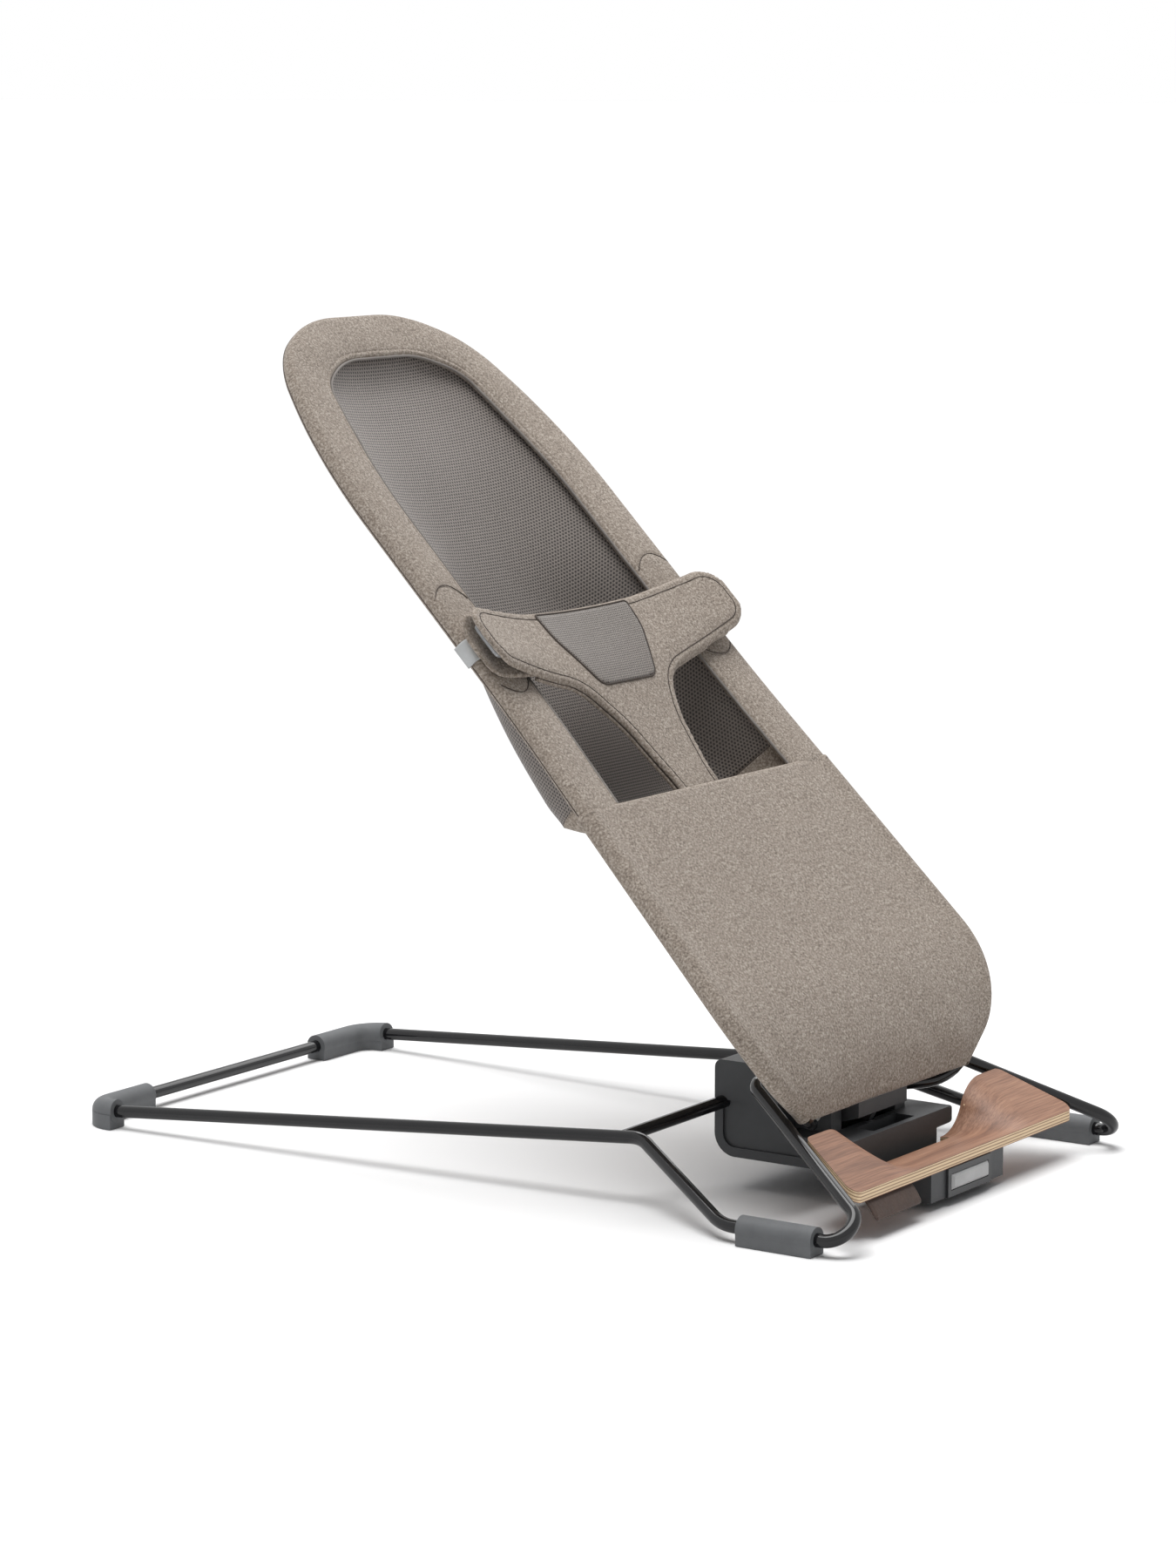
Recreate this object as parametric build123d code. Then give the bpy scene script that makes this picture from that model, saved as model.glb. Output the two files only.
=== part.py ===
from build123d import *
import os
from math import atan2, cos, hypot, radians, sin, tan

# Reclining bouncer seat on a sprung steel-rod base.
# Millimetres. +Z is up, -Y is the foot end, +Y is the head end, X runs across.
# The origin is on the floor, under the middle of the base.
# A size that ends in BACK is measured back from the front bends.

# Overall base
BASE_LENGTH = 694.0          # front bends to rear feet, along Y
ROD_D = 9.5                  # spring-steel rod of the base and the seat
REAR_HALF_W = 172.0          # rear corner of the rod, from the middle
FLOOR_HALF_W = 200.0         # front rod runs on the floor, from the middle
FLOOR_Z = 11.0               # rod centre height where feet carry it
BEND_HALF_W = 150.0          # raised bend of each side rail
BEND_BACK = 200.0
BEND_Z = 49.0
FLOOR_BEND_BACK = 101.0      # where each leg reaches the floor run
TOP_HALF_W = 103.5           # top of each front slope
TOP_BACK = 137.0
TOP_Z = 87.0
REAR_BEND_R = 20.0
SIDE_BEND_R = 25.0
FLOOR_BEND_R = 35.0
NOSE_BEND_R = 16.0
TOP_BEND_R = 18.0
WELD_BACK = 60.0             # butt weld on each rail, behind the raised bend
BRACE_HUB_X = 58.0           # inner end of each brace rod, inside the hub
BRACE_HUB_BACK = 174.0
BRACE_HUB_Z = 66.0

# Feet
FOOT_R = 9.0                 # rubber round the rod
FOOT_SOLE_W = 17.0           # flat width on the floor
FRONT_FOOT_LENGTH = 60.0
REAR_FOOT_RAIL = 4.0         # rear corner foot along the side rail, past the bend
REAR_FOOT_CROSS = 45.0       # and along the rear bar
FOOT_FIT = 0.1

# Hub under the seat
HUB_HALF_W = 70.0
HUB_REAR_BACK = 187.0
HUB_FLOOR_Z = 24.0
HUB_TOP_Z = 94.0
HUB_WALL = 3.0
HUB_SPLIT_Z = 43.0           # lower shell meets upper shell
HUB_CORNER_R = 17.0
DECK_T = 3.0
DECK_FRONT_BACK = 76.0
TOWER_FRONT_BACK = 134.0
TOWER_BROW_BACK = 126.0      # the brow in front of the cross rod
TOWER_BROW_Z = 76.0
TONGUE_HALF_W = 52.0
TONGUE_FRONT_BACK = 21.0
TONGUE_FLOOR_Z = 6.0
TONGUE_ROOT_BACK = 109.0
WELL_HALF_W = 31.0           # hand grip well in the deck
WELL_REAR_BACK = 99.0
WELL_FLOOR_Z = 27.0
COVER_T = 4.0                # dished side covers
COVER_DISH = 2.0
COVER_RIM = 7.0
COVER_BROW_DROP = 22.0       # the dish ends this far below the brow
SHELL_FIT = 0.2

# Seat pivot and lock
PIVOT_BACK = 118.0
PIVOT_Z = 59.0
PIVOT_FIT = 0.05
PILLAR_IN = 38.0             # bearing pillars, inner face from the middle
PILLAR_T = 14.0
PILLAR_HALF_L = 15.0
BUSH_WALL = 2.0
CAP_T = 5.0
CAP_WALL = 3.0
BRACKET_HALF_W = 35.0
BRACKET_R = 12.5
BRACKET_FLANGE_T = 3.5
INDEX_R = 21.0
INDEX_T = 6.0
NOTCH_R = 2.6
LOCK_PIN_R = 2.2
LOCK_PIN_GAP = 0.5
LOCK_PIN_ANGLE = -40.0
RECLINE_STEPS = (0.0, 9.7, 19.6, 54.0)

# Release button and its yoke
BUTTON_HALF_W = 26.0
BUTTON_H = 11.0
BUTTON_Z = 16.5
BUTTON_PROUD = 3.5
BUTTON_DEPTH = 12.0
BUTTON_FIT = 0.5
BEZEL_T = 2.0
BEZEL_RIM = 4.5
YOKE_T = 4.5
YOKE_X = 35.5
YOKE_HIGH_Z = 31.0
YOKE_PLATE_T = 3.0
YOKE_RAMP_START = 5.0        # behind the front of the deck
YOKE_RAMP = 20.0
YOKE_MITRE = 3.0
SPRING_D = 7.0
SPRING_WIRE = 0.9
SPRING_LENGTH = 22.0

# Moulded plywood plate
PLY_T = 8.0
PLY_FRONT_BACK = 20.0
PLY_REAR_BACK = 73.0
PLY_FRONT_HALF_W = 160.0
PLY_REAR_HALF_W = 136.0
PLY_FRONT_Z = 35.0           # top face
PLY_EAR_Z = 63.0
PLY_VALLEY_Z = 27.0
PLY_EAR_X = 108.0
PLY_VALLEY_X = 54.0
PLY_CORNER_R = 7.0
PLY_NOTCH_HALF_W = 50.0
PLY_NOTCH_DEPTH = 10.0
TAG_X = -108.0
TAG_W = 64.0
TAG_H = 17.0
TAG_T = 2.0
TAG_TILT = 35.0

# Screws
SCREW_R = 1.9
SCREW_HEAD_R = 3.6
SCREW_HEAD_T = 2.2
SCREW_FIT = 0.1
HUB_SCREW_SIDE_IN = 8.0      # from the side of the hub
HUB_SCREW_REAR_IN = 22.0
HUB_SCREW_FRONT_IN = 20.0
PLATE_SCREW_X = 49.0
PLATE_SCREW_IN = 9.0
PLATE_SCREW_GRIP = 5.0
CAP_SCREW_R = 1.5
CAP_SCREW_GRIP = 8.0
CAP_SCREW_HEAD_T = 1.8

# Seat frame: a straight back from a knee, and a short drop below it
SEAT_ANGLE = 45.7
KNEE_BACK = 94.0
KNEE_Z = 124.0
SEAT_CORNER_X = 97.0
SEAT_CORNER_BACK = 89.0
SEAT_CORNER_Z = 59.0
SEAT_BEND_X = 62.0
KNEE_HALF_W = 172.0
WAIST_HALF_W = 150.0
WAIST_T = 300.0
SHOULDER_HALF_W = 148.0
SHOULDER_T = 545.0
CROWN_HALF_W = 113.0
CROWN_T = 637.0
TOP_HALF_ARC = 56.0          # where the head turns level
HEAD_T = 669.0
SEAT_BEND_R = 18.0
SEAT_CORNER_R = 46.0
KNEE_R = 80.0
WAIST_R = 1300.0
SHOULDER_R = 340.0
CROWN_R = 82.0
TOP_ARC_R = 115.0
SEAT_END_X = 5.0

# Soft cover
RIM_R = 7.0                  # fabric and wadding round the rod
RIM_WIDTH = 47.0
RIM_EDGE_T = 5.0
SOFT_GAP = 0.3
BAG_T = 3.0
BAG_LAP = 6.0                # mesh runs under the rim
GUSSET_RUN = 24.0            # cloth end of the bag, from the pocket edge up
BAG_DEPTHS = (               # share of the way up the bag, depth there
    (0.0, 60.0),
    (0.22, 55.0),
    (0.45, 42.0),
    (0.63, 28.0),
    (0.78, 17.0),
    (0.91, 14.0),
    (1.0, 13.0),
)
BAG_FOOT_W = 10.0            # each side draws in by this at the bottom corner
BAG_CORNER_SHARE = 0.86      # depth of that corner, as a share of the depth
GUSSET_TUCK = 44.0           # and down, under the leg panel
PANEL_T = 2.0
PANEL_SINK = 1.2             # back of the panel, below the front of the rods
PANEL_TOP_T = 212.0
PANEL_BOTTOM_Z = 69.0
SLEEVE_R = 7.0               # fabric round the rod below the pocket edge
BELT_T = 4.0
STRAP_HALF_W = 24.0
STRAP_TOP_HALF_W = 40.0
STRAP_START_T = 188.0
BELT_LOW_T = 286.0
BELT_HIGH_T = 379.0
BELT_WING_LOW_T = 333.0
BELT_WING_HIGH_T = 386.0
BELT_HALF_W = 164.0
BELT_MID_V = 5.0             # belt height over the seat plane, at the middle
BELT_TIP_V = 25.0            # and at the wing tips
UNDER_T = 3.0
UNDER_IN = 62.0
UNDER_MID_X = 135.0
UNDER_MID_V = 11.0
UNDER_LOW_T = 342.0
UNDER_HIGH_T = 378.0
BELT_CORNER_R = 22.0
BELT_ROOT_R = 4.0
BELT_NECK_R = 45.0
BELT_TOP_R = 60.0
BELT_ROOT_IN = 3.0           # half width of the belt at the strap, inside the strap's own
BELT_NECK_OUT = 3.0          # and where the wings spread
BELT_NECK_DROP = 25.0
BELT_TOP_OUT = 30.0          # and along its top edge
BELT_TRIM = 1.0
BELT_MESH_T = 2.0
BELT_MESH_HALF_W = 60.0
BELT_MESH_LOW_T = 309.0
BELT_MESH_HIGH_T = 374.0
BELT_MESH_TIP_SHARE = 0.55
BELT_MESH_SIDE = 8.0
BELT_MESH_TIP_R = 12.0
BELT_MESH_SIDE_R = 3.0
BELT_MESH_TOP_R = 2.0
TOGGLE_L = 30.0
TOGGLE_W = 11.0
TOGGLE_T = 3.0
TOGGLE_T_POS = 357.0
TAB_W = 18.0
TAB_T = 1.2
TAB_OUT = 4.0
TAB_REACH = 10.0

ROD_R = ROD_D / 2
HUB_SCREW_X = HUB_HALF_W - HUB_SCREW_SIDE_IN
GUSSET_END_T = PANEL_TOP_T - GUSSET_TUCK
BAG_LOW_T = PANEL_TOP_T + GUSSET_RUN

# Places along Y: the hub, the plate and the seat keep their distance from the front bends
FRONT_Y = -BASE_LENGTH / 2
BEND_Y = FRONT_Y + BEND_BACK
FLOOR_BEND_Y = FRONT_Y + FLOOR_BEND_BACK
TOP_Y = FRONT_Y + TOP_BACK
BRACE_HUB_Y = FRONT_Y + BRACE_HUB_BACK
HUB_REAR_Y = FRONT_Y + HUB_REAR_BACK
DECK_FRONT_Y = FRONT_Y + DECK_FRONT_BACK
TOWER_FRONT_Y = FRONT_Y + TOWER_FRONT_BACK
TOWER_BROW_Y = FRONT_Y + TOWER_BROW_BACK
TONGUE_FRONT_Y = FRONT_Y + TONGUE_FRONT_BACK
TONGUE_ROOT_Y = FRONT_Y + TONGUE_ROOT_BACK
WELL_REAR_Y = FRONT_Y + WELL_REAR_BACK
PIVOT_Y = FRONT_Y + PIVOT_BACK
PLY_FRONT_Y = FRONT_Y + PLY_FRONT_BACK
PLY_REAR_Y = FRONT_Y + PLY_REAR_BACK
KNEE_Y = FRONT_Y + KNEE_BACK
SEAT_CORNER_Y = FRONT_Y + SEAT_CORNER_BACK


def mirror_x(shape):
    return mirror(shape, about=Plane.YZ)


def fitted_radii(points, radii):
    # Each bend radius, eased where two neighbouring bends need more than their run.
    pts = [Vector(*p) for p in points]
    runs = [b - a for a, b in zip(pts[:-1], pts[1:])]
    turns = [radians(a.get_angle(b)) for a, b in zip(runs[:-1], runs[1:])]
    reach = [0.0] + [r * tan(turn / 2) for r, turn in zip(radii, turns)] + [0.0]
    room = []
    for i, run in enumerate(runs):
        need = reach[i] + reach[i + 1]
        room.append(min(1.0, 0.96 * run.length / need) if need > 0 else 1.0)
    return [r * min(room[i], room[i + 1]) for i, r in enumerate(radii)]


def rod(points, radii):
    # Round rod along straight runs joined by tangent arcs.
    if len(points) == 2:
        path = Line(points[0], points[1])
    else:
        path = FilletPolyline(*points, radius=radii)
    start = Plane(origin=path @ 0, z_dir=path % 0)
    return sweep(start * Circle(ROD_R), path=path)


def prism_x(points, half_w):
    # Side profile given as (y, z), extruded across the middle.
    face = make_face(Polyline(*[(0, y, z) for y, z in points], close=True))
    return extrude(face, half_w, dir=(1, 0, 0), both=True)


def box_between(x0, x1, y0, y1, z0, z1):
    centre = Pos((x0 + x1) / 2, (y0 + y1) / 2, (z0 + z1) / 2)
    return centre * Box(x1 - x0, y1 - y0, z1 - z0)


def cyl_x(x0, x1, y, z, r):
    plane = Plane(origin=(x0, y, z), x_dir=(0, 1, 0), z_dir=(1, 0, 0))
    return extrude(plane * Circle(r), x1 - x0)


def cyl_z(x, y, z0, z1, r):
    return Pos(x, y, (z0 + z1) / 2) * Cylinder(r, z1 - z0)


def seat(x, t, v=0.0):
    # Point on the seat: across, along the back from the knee, out of its plane.
    c = cos(radians(SEAT_ANGLE))
    s = sin(radians(SEAT_ANGLE))
    return (x, KNEE_Y + t * c - v * s, KNEE_Z + t * s + v * c)


SEAT_PLANE = Plane(
    origin=(0, KNEE_Y, KNEE_Z),
    x_dir=(1, 0, 0),
    z_dir=(0, -sin(radians(SEAT_ANGLE)), cos(radians(SEAT_ANGLE))),
)

# Base rods
NOSE_REACH = -BASE_LENGTH / 2 + ROD_R
nose_y = NOSE_REACH - NOSE_BEND_R
for _ in range(30):
    slope = hypot(FLOOR_HALF_W - TOP_HALF_W, TOP_Z - FLOOR_Z)
    turn = radians(180) - atan2(slope, TOP_Y - nose_y)
    nose_y = NOSE_REACH + NOSE_BEND_R - NOSE_BEND_R * tan(turn / 2)
nose_run_y = nose_y + NOSE_BEND_R * tan(turn / 2)
rear_y = BASE_LENGTH / 2 - FOOT_R

rear_corner = Vector(REAR_HALF_W, rear_y, FLOOR_Z)
side_bend = Vector(BEND_HALF_W, BEND_Y, BEND_Z)
weld = side_bend + (rear_corner - side_bend).normalized() * WELD_BACK
floor_bend = Vector(FLOOR_HALF_W, FLOOR_BEND_Y, FLOOR_Z)
nose = Vector(FLOOR_HALF_W, nose_y, FLOOR_Z)
top_bend = Vector(TOP_HALF_W, TOP_Y, TOP_Z)
cross_end = Vector(0, TOP_Y, TOP_Z)


def flip(p):
    return Vector(-p.X, p.Y, p.Z)


rear_rod = rod(
    [flip(weld), flip(rear_corner), rear_corner, weld], [REAR_BEND_R, REAR_BEND_R]
)
front_points = [weld, side_bend, floor_bend, nose, top_bend, cross_end]
front_rod = rod(front_points, [SIDE_BEND_R, FLOOR_BEND_R, NOSE_BEND_R, TOP_BEND_R])
# The brace is welded to the inside of the raised bend, its end coped to fit.
brace_end = Vector(BRACE_HUB_X, BRACE_HUB_Y, BRACE_HUB_Z)
rail_dir = (rear_corner - side_bend).normalized()
brace_start = side_bend + rail_dir * (ROD_D * 1.6)
brace_rod = rod([brace_start, brace_end], []) - front_rod
brace_rod = max(brace_rod.solids(), key=lambda s: s.volume)

# Feet
foot_mid_y = (nose_run_y + FLOOR_BEND_Y - FLOOR_BEND_R * 0.35) / 2
foot_face = Pos(0, FLOOR_Z) * Circle(FOOT_R)
foot_sole = Pos(0, FLOOR_Z / 2) * Rectangle(FOOT_SOLE_W, FLOOR_Z)
foot_section = foot_face + foot_sole
foot_plane = Plane(
    origin=(FLOOR_HALF_W, foot_mid_y + FRONT_FOOT_LENGTH / 2, 0),
    x_dir=(1, 0, 0),
    z_dir=(0, -1, 0),
)
front_foot = extrude(foot_plane * foot_section, FRONT_FOOT_LENGTH)
foot_bore = Plane(foot_plane.origin + Vector(0, 1, FLOOR_Z), z_dir=(0, -1, 0))
front_foot -= extrude(foot_bore * Circle(ROD_R + FOOT_FIT), FRONT_FOOT_LENGTH + 2)

arm_x = REAR_BEND_R + REAR_FOOT_CROSS
arm_y = REAR_BEND_R + REAR_FOOT_RAIL


def corner_sweep(r, past):
    # Round bar through a rear corner, its two ends run on by a given length.
    path = FilletPolyline(
        rear_corner + Vector(-arm_x - past, 0, 0),
        rear_corner,
        rear_corner - rail_dir * (arm_y + past),
        radius=REAR_BEND_R,
    )
    start = Plane(origin=path @ 0, x_dir=(0, 1, 0), z_dir=path % 0)
    return sweep(start * Circle(r), path=path)


rear_sleeve = corner_sweep(FOOT_R, 0.0)
rear_bore = corner_sweep(ROD_R + FOOT_FIT, 2.0)
sole_half = FOOT_SOLE_W / 2
sole_outer = Vector(REAR_HALF_W + sole_half, rear_y + sole_half)
sole_line = FilletPolyline(
    (REAR_HALF_W - arm_x, rear_y + sole_half),
    (sole_outer.X, sole_outer.Y),
    (sole_outer.X, rear_y - arm_y),
    (sole_outer.X - FOOT_SOLE_W, rear_y - arm_y),
    (sole_outer.X - FOOT_SOLE_W, rear_y - sole_half),
    (REAR_HALF_W - arm_x, rear_y - sole_half),
    radius=[0, REAR_BEND_R + sole_half, 0, 0, REAR_BEND_R - sole_half, 0],
    close=True,
)
rear_sole = extrude(make_face(sole_line), FLOOR_Z)
rear_foot = rear_sleeve + rear_sole - rear_bore
rear_foot = max(rear_foot.solids(), key=lambda s: s.volume)

# Moulded plywood plate: straight front edge, two raised ears, a low middle
ply_dx = (PLY_EAR_X - PLY_VALLEY_X) / 2
ply_dz = (PLY_EAR_Z - PLY_VALLEY_Z) / 2
ply_r = (ply_dx**2 + ply_dz**2) / (2 * ply_dz)
ply_half_turn = atan2(ply_dz, ply_dx)
PLY_SPARE = 12.0  # trimmed away by the plan outline


def ply_curve(y, drop, flat):
    # Top curve of the plate at one end, and the same curve one thickness lower.
    valley_c = Vector(PLY_VALLEY_X, PLY_VALLEY_Z + ply_r)
    ear_c = Vector(PLY_EAR_X, PLY_EAR_Z - ply_r)
    low_r = ply_r + drop
    high_r = ply_r - drop
    a = ply_half_turn
    edge = PLY_FRONT_HALF_W + PLY_SPARE
    pts = [
        (PLY_VALLEY_X, PLY_VALLEY_Z - drop),
        (valley_c.X + low_r * sin(a), valley_c.Y - low_r * cos(a)),
        (valley_c.X + low_r * sin(2 * a), valley_c.Y - low_r * cos(2 * a)),
        (ear_c.X - high_r * sin(a), ear_c.Y + high_r * cos(a)),
        (PLY_EAR_X, PLY_EAR_Z - drop),
        (edge, PLY_EAR_Z - drop),
    ]
    if flat:
        pts = [(x, PLY_FRONT_Z - drop) for x, z in pts]
    right = [(x, y, z) for x, z in pts]
    left = [(-x, y, z) for x, z in pts]
    if flat:
        spans = [
            Line(left[5], left[4]),
            Line(left[4], left[2]),
            Line(left[2], left[0]),
            Line(left[0], right[0]),
            Line(right[0], right[2]),
            Line(right[2], right[4]),
            Line(right[4], right[5]),
        ]
    else:
        spans = [
            Line(left[5], left[4]),
            ThreePointArc(left[4], left[3], left[2]),
            ThreePointArc(left[2], left[1], left[0]),
            Line(left[0], right[0]),
            ThreePointArc(right[0], right[1], right[2]),
            ThreePointArc(right[2], right[3], right[4]),
            Line(right[4], right[5]),
        ]
    return spans, left[5], right[5]


def ply_section(y, flat):
    top, top_l, top_r = ply_curve(y, 0.0, flat)
    low, low_l, low_r = ply_curve(y, PLY_T, flat)
    ends = [Line(top_r, low_r), Line(low_l, top_l)]
    return make_face(top + low + ends)


ply_body = loft([ply_section(PLY_FRONT_Y, True), ply_section(PLY_REAR_Y, False)], ruled=True)
ply_outline = FilletPolyline(
    (-PLY_FRONT_HALF_W, PLY_FRONT_Y),
    (PLY_FRONT_HALF_W, PLY_FRONT_Y),
    (PLY_REAR_HALF_W, PLY_REAR_Y),
    (PLY_NOTCH_HALF_W, PLY_REAR_Y),
    (PLY_NOTCH_HALF_W, PLY_REAR_Y - PLY_NOTCH_DEPTH),
    (-PLY_NOTCH_HALF_W, PLY_REAR_Y - PLY_NOTCH_DEPTH),
    (-PLY_NOTCH_HALF_W, PLY_REAR_Y),
    (-PLY_REAR_HALF_W, PLY_REAR_Y),
    radius=[PLY_CORNER_R, PLY_CORNER_R, PLY_CORNER_R, 2.5, 4.0, 4.0, 2.5, PLY_CORNER_R],
    close=True,
)
ply_trim = extrude(make_face(ply_outline), PLY_EAR_Z + PLY_T)
foot_plate = ply_body & ply_trim
foot_plate = max(foot_plate.solids(), key=lambda s: s.volume)


def valley_under(y):
    # Height of the plate's underside along the middle.
    share = (y - PLY_FRONT_Y) / (PLY_REAR_Y - PLY_FRONT_Y)
    return PLY_FRONT_Z + (PLY_VALLEY_Z - PLY_FRONT_Z) * share - PLY_T


# Hub: a tray below, a deck and a tower above, dished covers at the sides
tongue_top_front = valley_under(TONGUE_FRONT_Y)
tongue_top_rear = valley_under(PLY_REAR_Y)
front_wall_z = HUB_FLOOR_Z + 10.0
body_profile = [
    (HUB_REAR_Y, HUB_SPLIT_Z),
    (HUB_REAR_Y, HUB_FLOOR_Z),
    (TONGUE_ROOT_Y - 14.0, HUB_FLOOR_Z),
    (DECK_FRONT_Y, front_wall_z),
    (DECK_FRONT_Y, HUB_SPLIT_Z),
]
tongue_profile = [
    (TONGUE_ROOT_Y + 8.0, HUB_SPLIT_Z - HUB_WALL),
    (TONGUE_ROOT_Y + 8.0, HUB_FLOOR_Z),
    (TONGUE_ROOT_Y, HUB_FLOOR_Z),
    (TONGUE_ROOT_Y - 18.0, TONGUE_FLOOR_Z),
    (TONGUE_FRONT_Y, TONGUE_FLOOR_Z),
    (TONGUE_FRONT_Y, tongue_top_front),
    (PLY_REAR_Y, tongue_top_rear),
    (DECK_FRONT_Y, tongue_top_rear),
    (DECK_FRONT_Y, HUB_SPLIT_Z - HUB_WALL),
]
body_outer = prism_x(body_profile, HUB_HALF_W)
rear_low = body_outer.edges().filter_by(Axis.X).sort_by(Axis.Z)[:2].sort_by(Axis.Y)[-1]
body_outer = fillet(rear_low, HUB_CORNER_R)
lower = body_outer + prism_x(tongue_profile, TONGUE_HALF_W)

cavity_body = [
    (HUB_REAR_Y - HUB_WALL, HUB_SPLIT_Z + 1.0),
    (HUB_REAR_Y - HUB_WALL, HUB_FLOOR_Z + HUB_CORNER_R * 0.6),
    (HUB_REAR_Y - HUB_WALL - HUB_CORNER_R * 0.6, HUB_FLOOR_Z + HUB_WALL),
    (TONGUE_ROOT_Y - 14.0, HUB_FLOOR_Z + HUB_WALL),
    (DECK_FRONT_Y + HUB_WALL, front_wall_z + HUB_WALL),
    (DECK_FRONT_Y + HUB_WALL, HUB_SPLIT_Z + 1.0),
]
cavity_tongue = [
    (TONGUE_ROOT_Y + 6.0, HUB_SPLIT_Z + 1.0),
    (TONGUE_ROOT_Y + 6.0, HUB_FLOOR_Z + HUB_WALL),
    (TONGUE_ROOT_Y, HUB_FLOOR_Z + HUB_WALL),
    (TONGUE_ROOT_Y - 18.0, TONGUE_FLOOR_Z + HUB_WALL),
    (TONGUE_FRONT_Y + HUB_WALL, TONGUE_FLOOR_Z + HUB_WALL),
    (TONGUE_FRONT_Y + HUB_WALL, tongue_top_front - HUB_WALL),
    (DECK_FRONT_Y + HUB_WALL, tongue_top_rear - HUB_WALL),
    (DECK_FRONT_Y + HUB_WALL, HUB_SPLIT_Z + 1.0),
]
lower -= prism_x(cavity_body, HUB_HALF_W - HUB_WALL)
lower -= prism_x(cavity_tongue, TONGUE_HALF_W - HUB_WALL)
button_window = box_between(
    -BUTTON_HALF_W - BUTTON_FIT, BUTTON_HALF_W + BUTTON_FIT,
    TONGUE_FRONT_Y - 5.0, TONGUE_FRONT_Y + HUB_WALL + 1.0,
    BUTTON_Z - BUTTON_H / 2 - BUTTON_FIT, BUTTON_Z + BUTTON_H / 2 + BUTTON_FIT,
)
lower -= button_window
# The rib that the return spring pushes against
button_back_y = TONGUE_FRONT_Y - BUTTON_PROUD + BUTTON_DEPTH
yoke_back_y = button_back_y + YOKE_PLATE_T
spring_end_y = yoke_back_y + SPRING_LENGTH + 0.1
spring_z = TONGUE_FLOOR_Z + HUB_WALL + 1.0 + SPRING_D / 2
spring_rib = box_between(
    -SPRING_D, SPRING_D, spring_end_y, spring_end_y + HUB_WALL,
    TONGUE_FLOOR_Z + HUB_WALL - 0.5, spring_z + SPRING_D / 2,
)
lower += spring_rib

# Screws from below: four into the upper shell, four into the plate
hub_screw_spots = [
    (HUB_SCREW_X, HUB_REAR_Y - HUB_SCREW_REAR_IN),
    (HUB_SCREW_X, TONGUE_ROOT_Y - 14.0 + HUB_SCREW_FRONT_IN),
]
plate_screw_spots = [
    (PLATE_SCREW_X - SCREW_HEAD_R, TONGUE_FRONT_Y + PLATE_SCREW_IN),
    (PLATE_SCREW_X - SCREW_HEAD_R, PLY_REAR_Y - PLY_NOTCH_DEPTH - PLATE_SCREW_IN),
]
boss_r = SCREW_R + 2.6


def screw(x, y, z0, length):
    head = cyl_z(x, y, z0, z0 + SCREW_HEAD_T, SCREW_HEAD_R)
    shank = cyl_z(x, y, z0 + SCREW_HEAD_T - 0.01, z0 + length, SCREW_R)
    return head + shank


def screw_hole(x, y, z0, length):
    head = cyl_z(x, y, z0 - 1.0, z0 + SCREW_HEAD_T + SCREW_FIT, SCREW_HEAD_R + SCREW_FIT)
    shank = cyl_z(x, y, z0, z0 + length + SCREW_FIT, SCREW_R + SCREW_FIT)
    return head + shank


hub_screw_len = HUB_SPLIT_Z - HUB_FLOOR_Z - DECK_T
hub_screws = []
plate_screws = []
hub_bosses = []
for sx in (-1, 1):
    for x, y in hub_screw_spots:
        hub_screws.append(screw(sx * x, y, HUB_FLOOR_Z, hub_screw_len))
        lower -= screw_hole(sx * x, y, HUB_FLOOR_Z, hub_screw_len)
        boss = cyl_z(sx * x, y, HUB_FLOOR_Z + HUB_WALL, HUB_SPLIT_Z + 0.5, boss_r)
        hub_bosses.append(boss - screw_hole(sx * x, y, HUB_FLOOR_Z, hub_screw_len))
    for x, y in plate_screw_spots:
        tall = valley_under(y) - TONGUE_FLOOR_Z + PLATE_SCREW_GRIP
        post = cyl_z(sx * x, y, TONGUE_FLOOR_Z + 1.0, valley_under(y) - 1.5, boss_r)
        lower += post
        plate_screws.append(screw(sx * x, y, TONGUE_FLOOR_Z, tall))
        lower -= screw_hole(sx * x, y, TONGUE_FLOOR_Z, tall)
        foot_plate -= screw_hole(sx * x, y, TONGUE_FLOOR_Z, tall)
hub_lower_shell = max(lower.solids(), key=lambda s: s.volume)
foot_plate = max(foot_plate.solids(), key=lambda s: s.volume)

# Upper shell
deck_top = HUB_SPLIT_Z + DECK_T
tower_profile = [
    (HUB_REAR_Y, HUB_SPLIT_Z),
    (HUB_REAR_Y, HUB_TOP_Z),
    (TOWER_BROW_Y, HUB_TOP_Z),
    (TOWER_BROW_Y, TOWER_BROW_Z),
    (TOWER_FRONT_Y, TOWER_BROW_Z - 6.0),
    (TOWER_FRONT_Y, HUB_SPLIT_Z),
]
tower_cavity = [
    (HUB_REAR_Y - HUB_WALL, HUB_SPLIT_Z - 1.0),
    (HUB_REAR_Y - HUB_WALL, HUB_TOP_Z - HUB_WALL),
    (TOWER_BROW_Y + HUB_WALL, HUB_TOP_Z - HUB_WALL),
    (TOWER_BROW_Y + HUB_WALL, TOWER_BROW_Z + HUB_WALL),
    (TOWER_FRONT_Y + HUB_WALL, TOWER_BROW_Z - 6.0 + HUB_WALL),
    (TOWER_FRONT_Y + HUB_WALL, HUB_SPLIT_Z - 1.0),
]
tower = prism_x(tower_profile, HUB_HALF_W)
tower_tops = tower.edges().filter_by(Axis.X).sort_by(Axis.Z)[-2:]
tower = fillet(tower_tops, HUB_WALL * 2)
deck = box_between(-HUB_HALF_W, HUB_HALF_W, DECK_FRONT_Y, TOWER_FRONT_Y + 1.0, HUB_SPLIT_Z, deck_top)
upper = tower + deck
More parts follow.
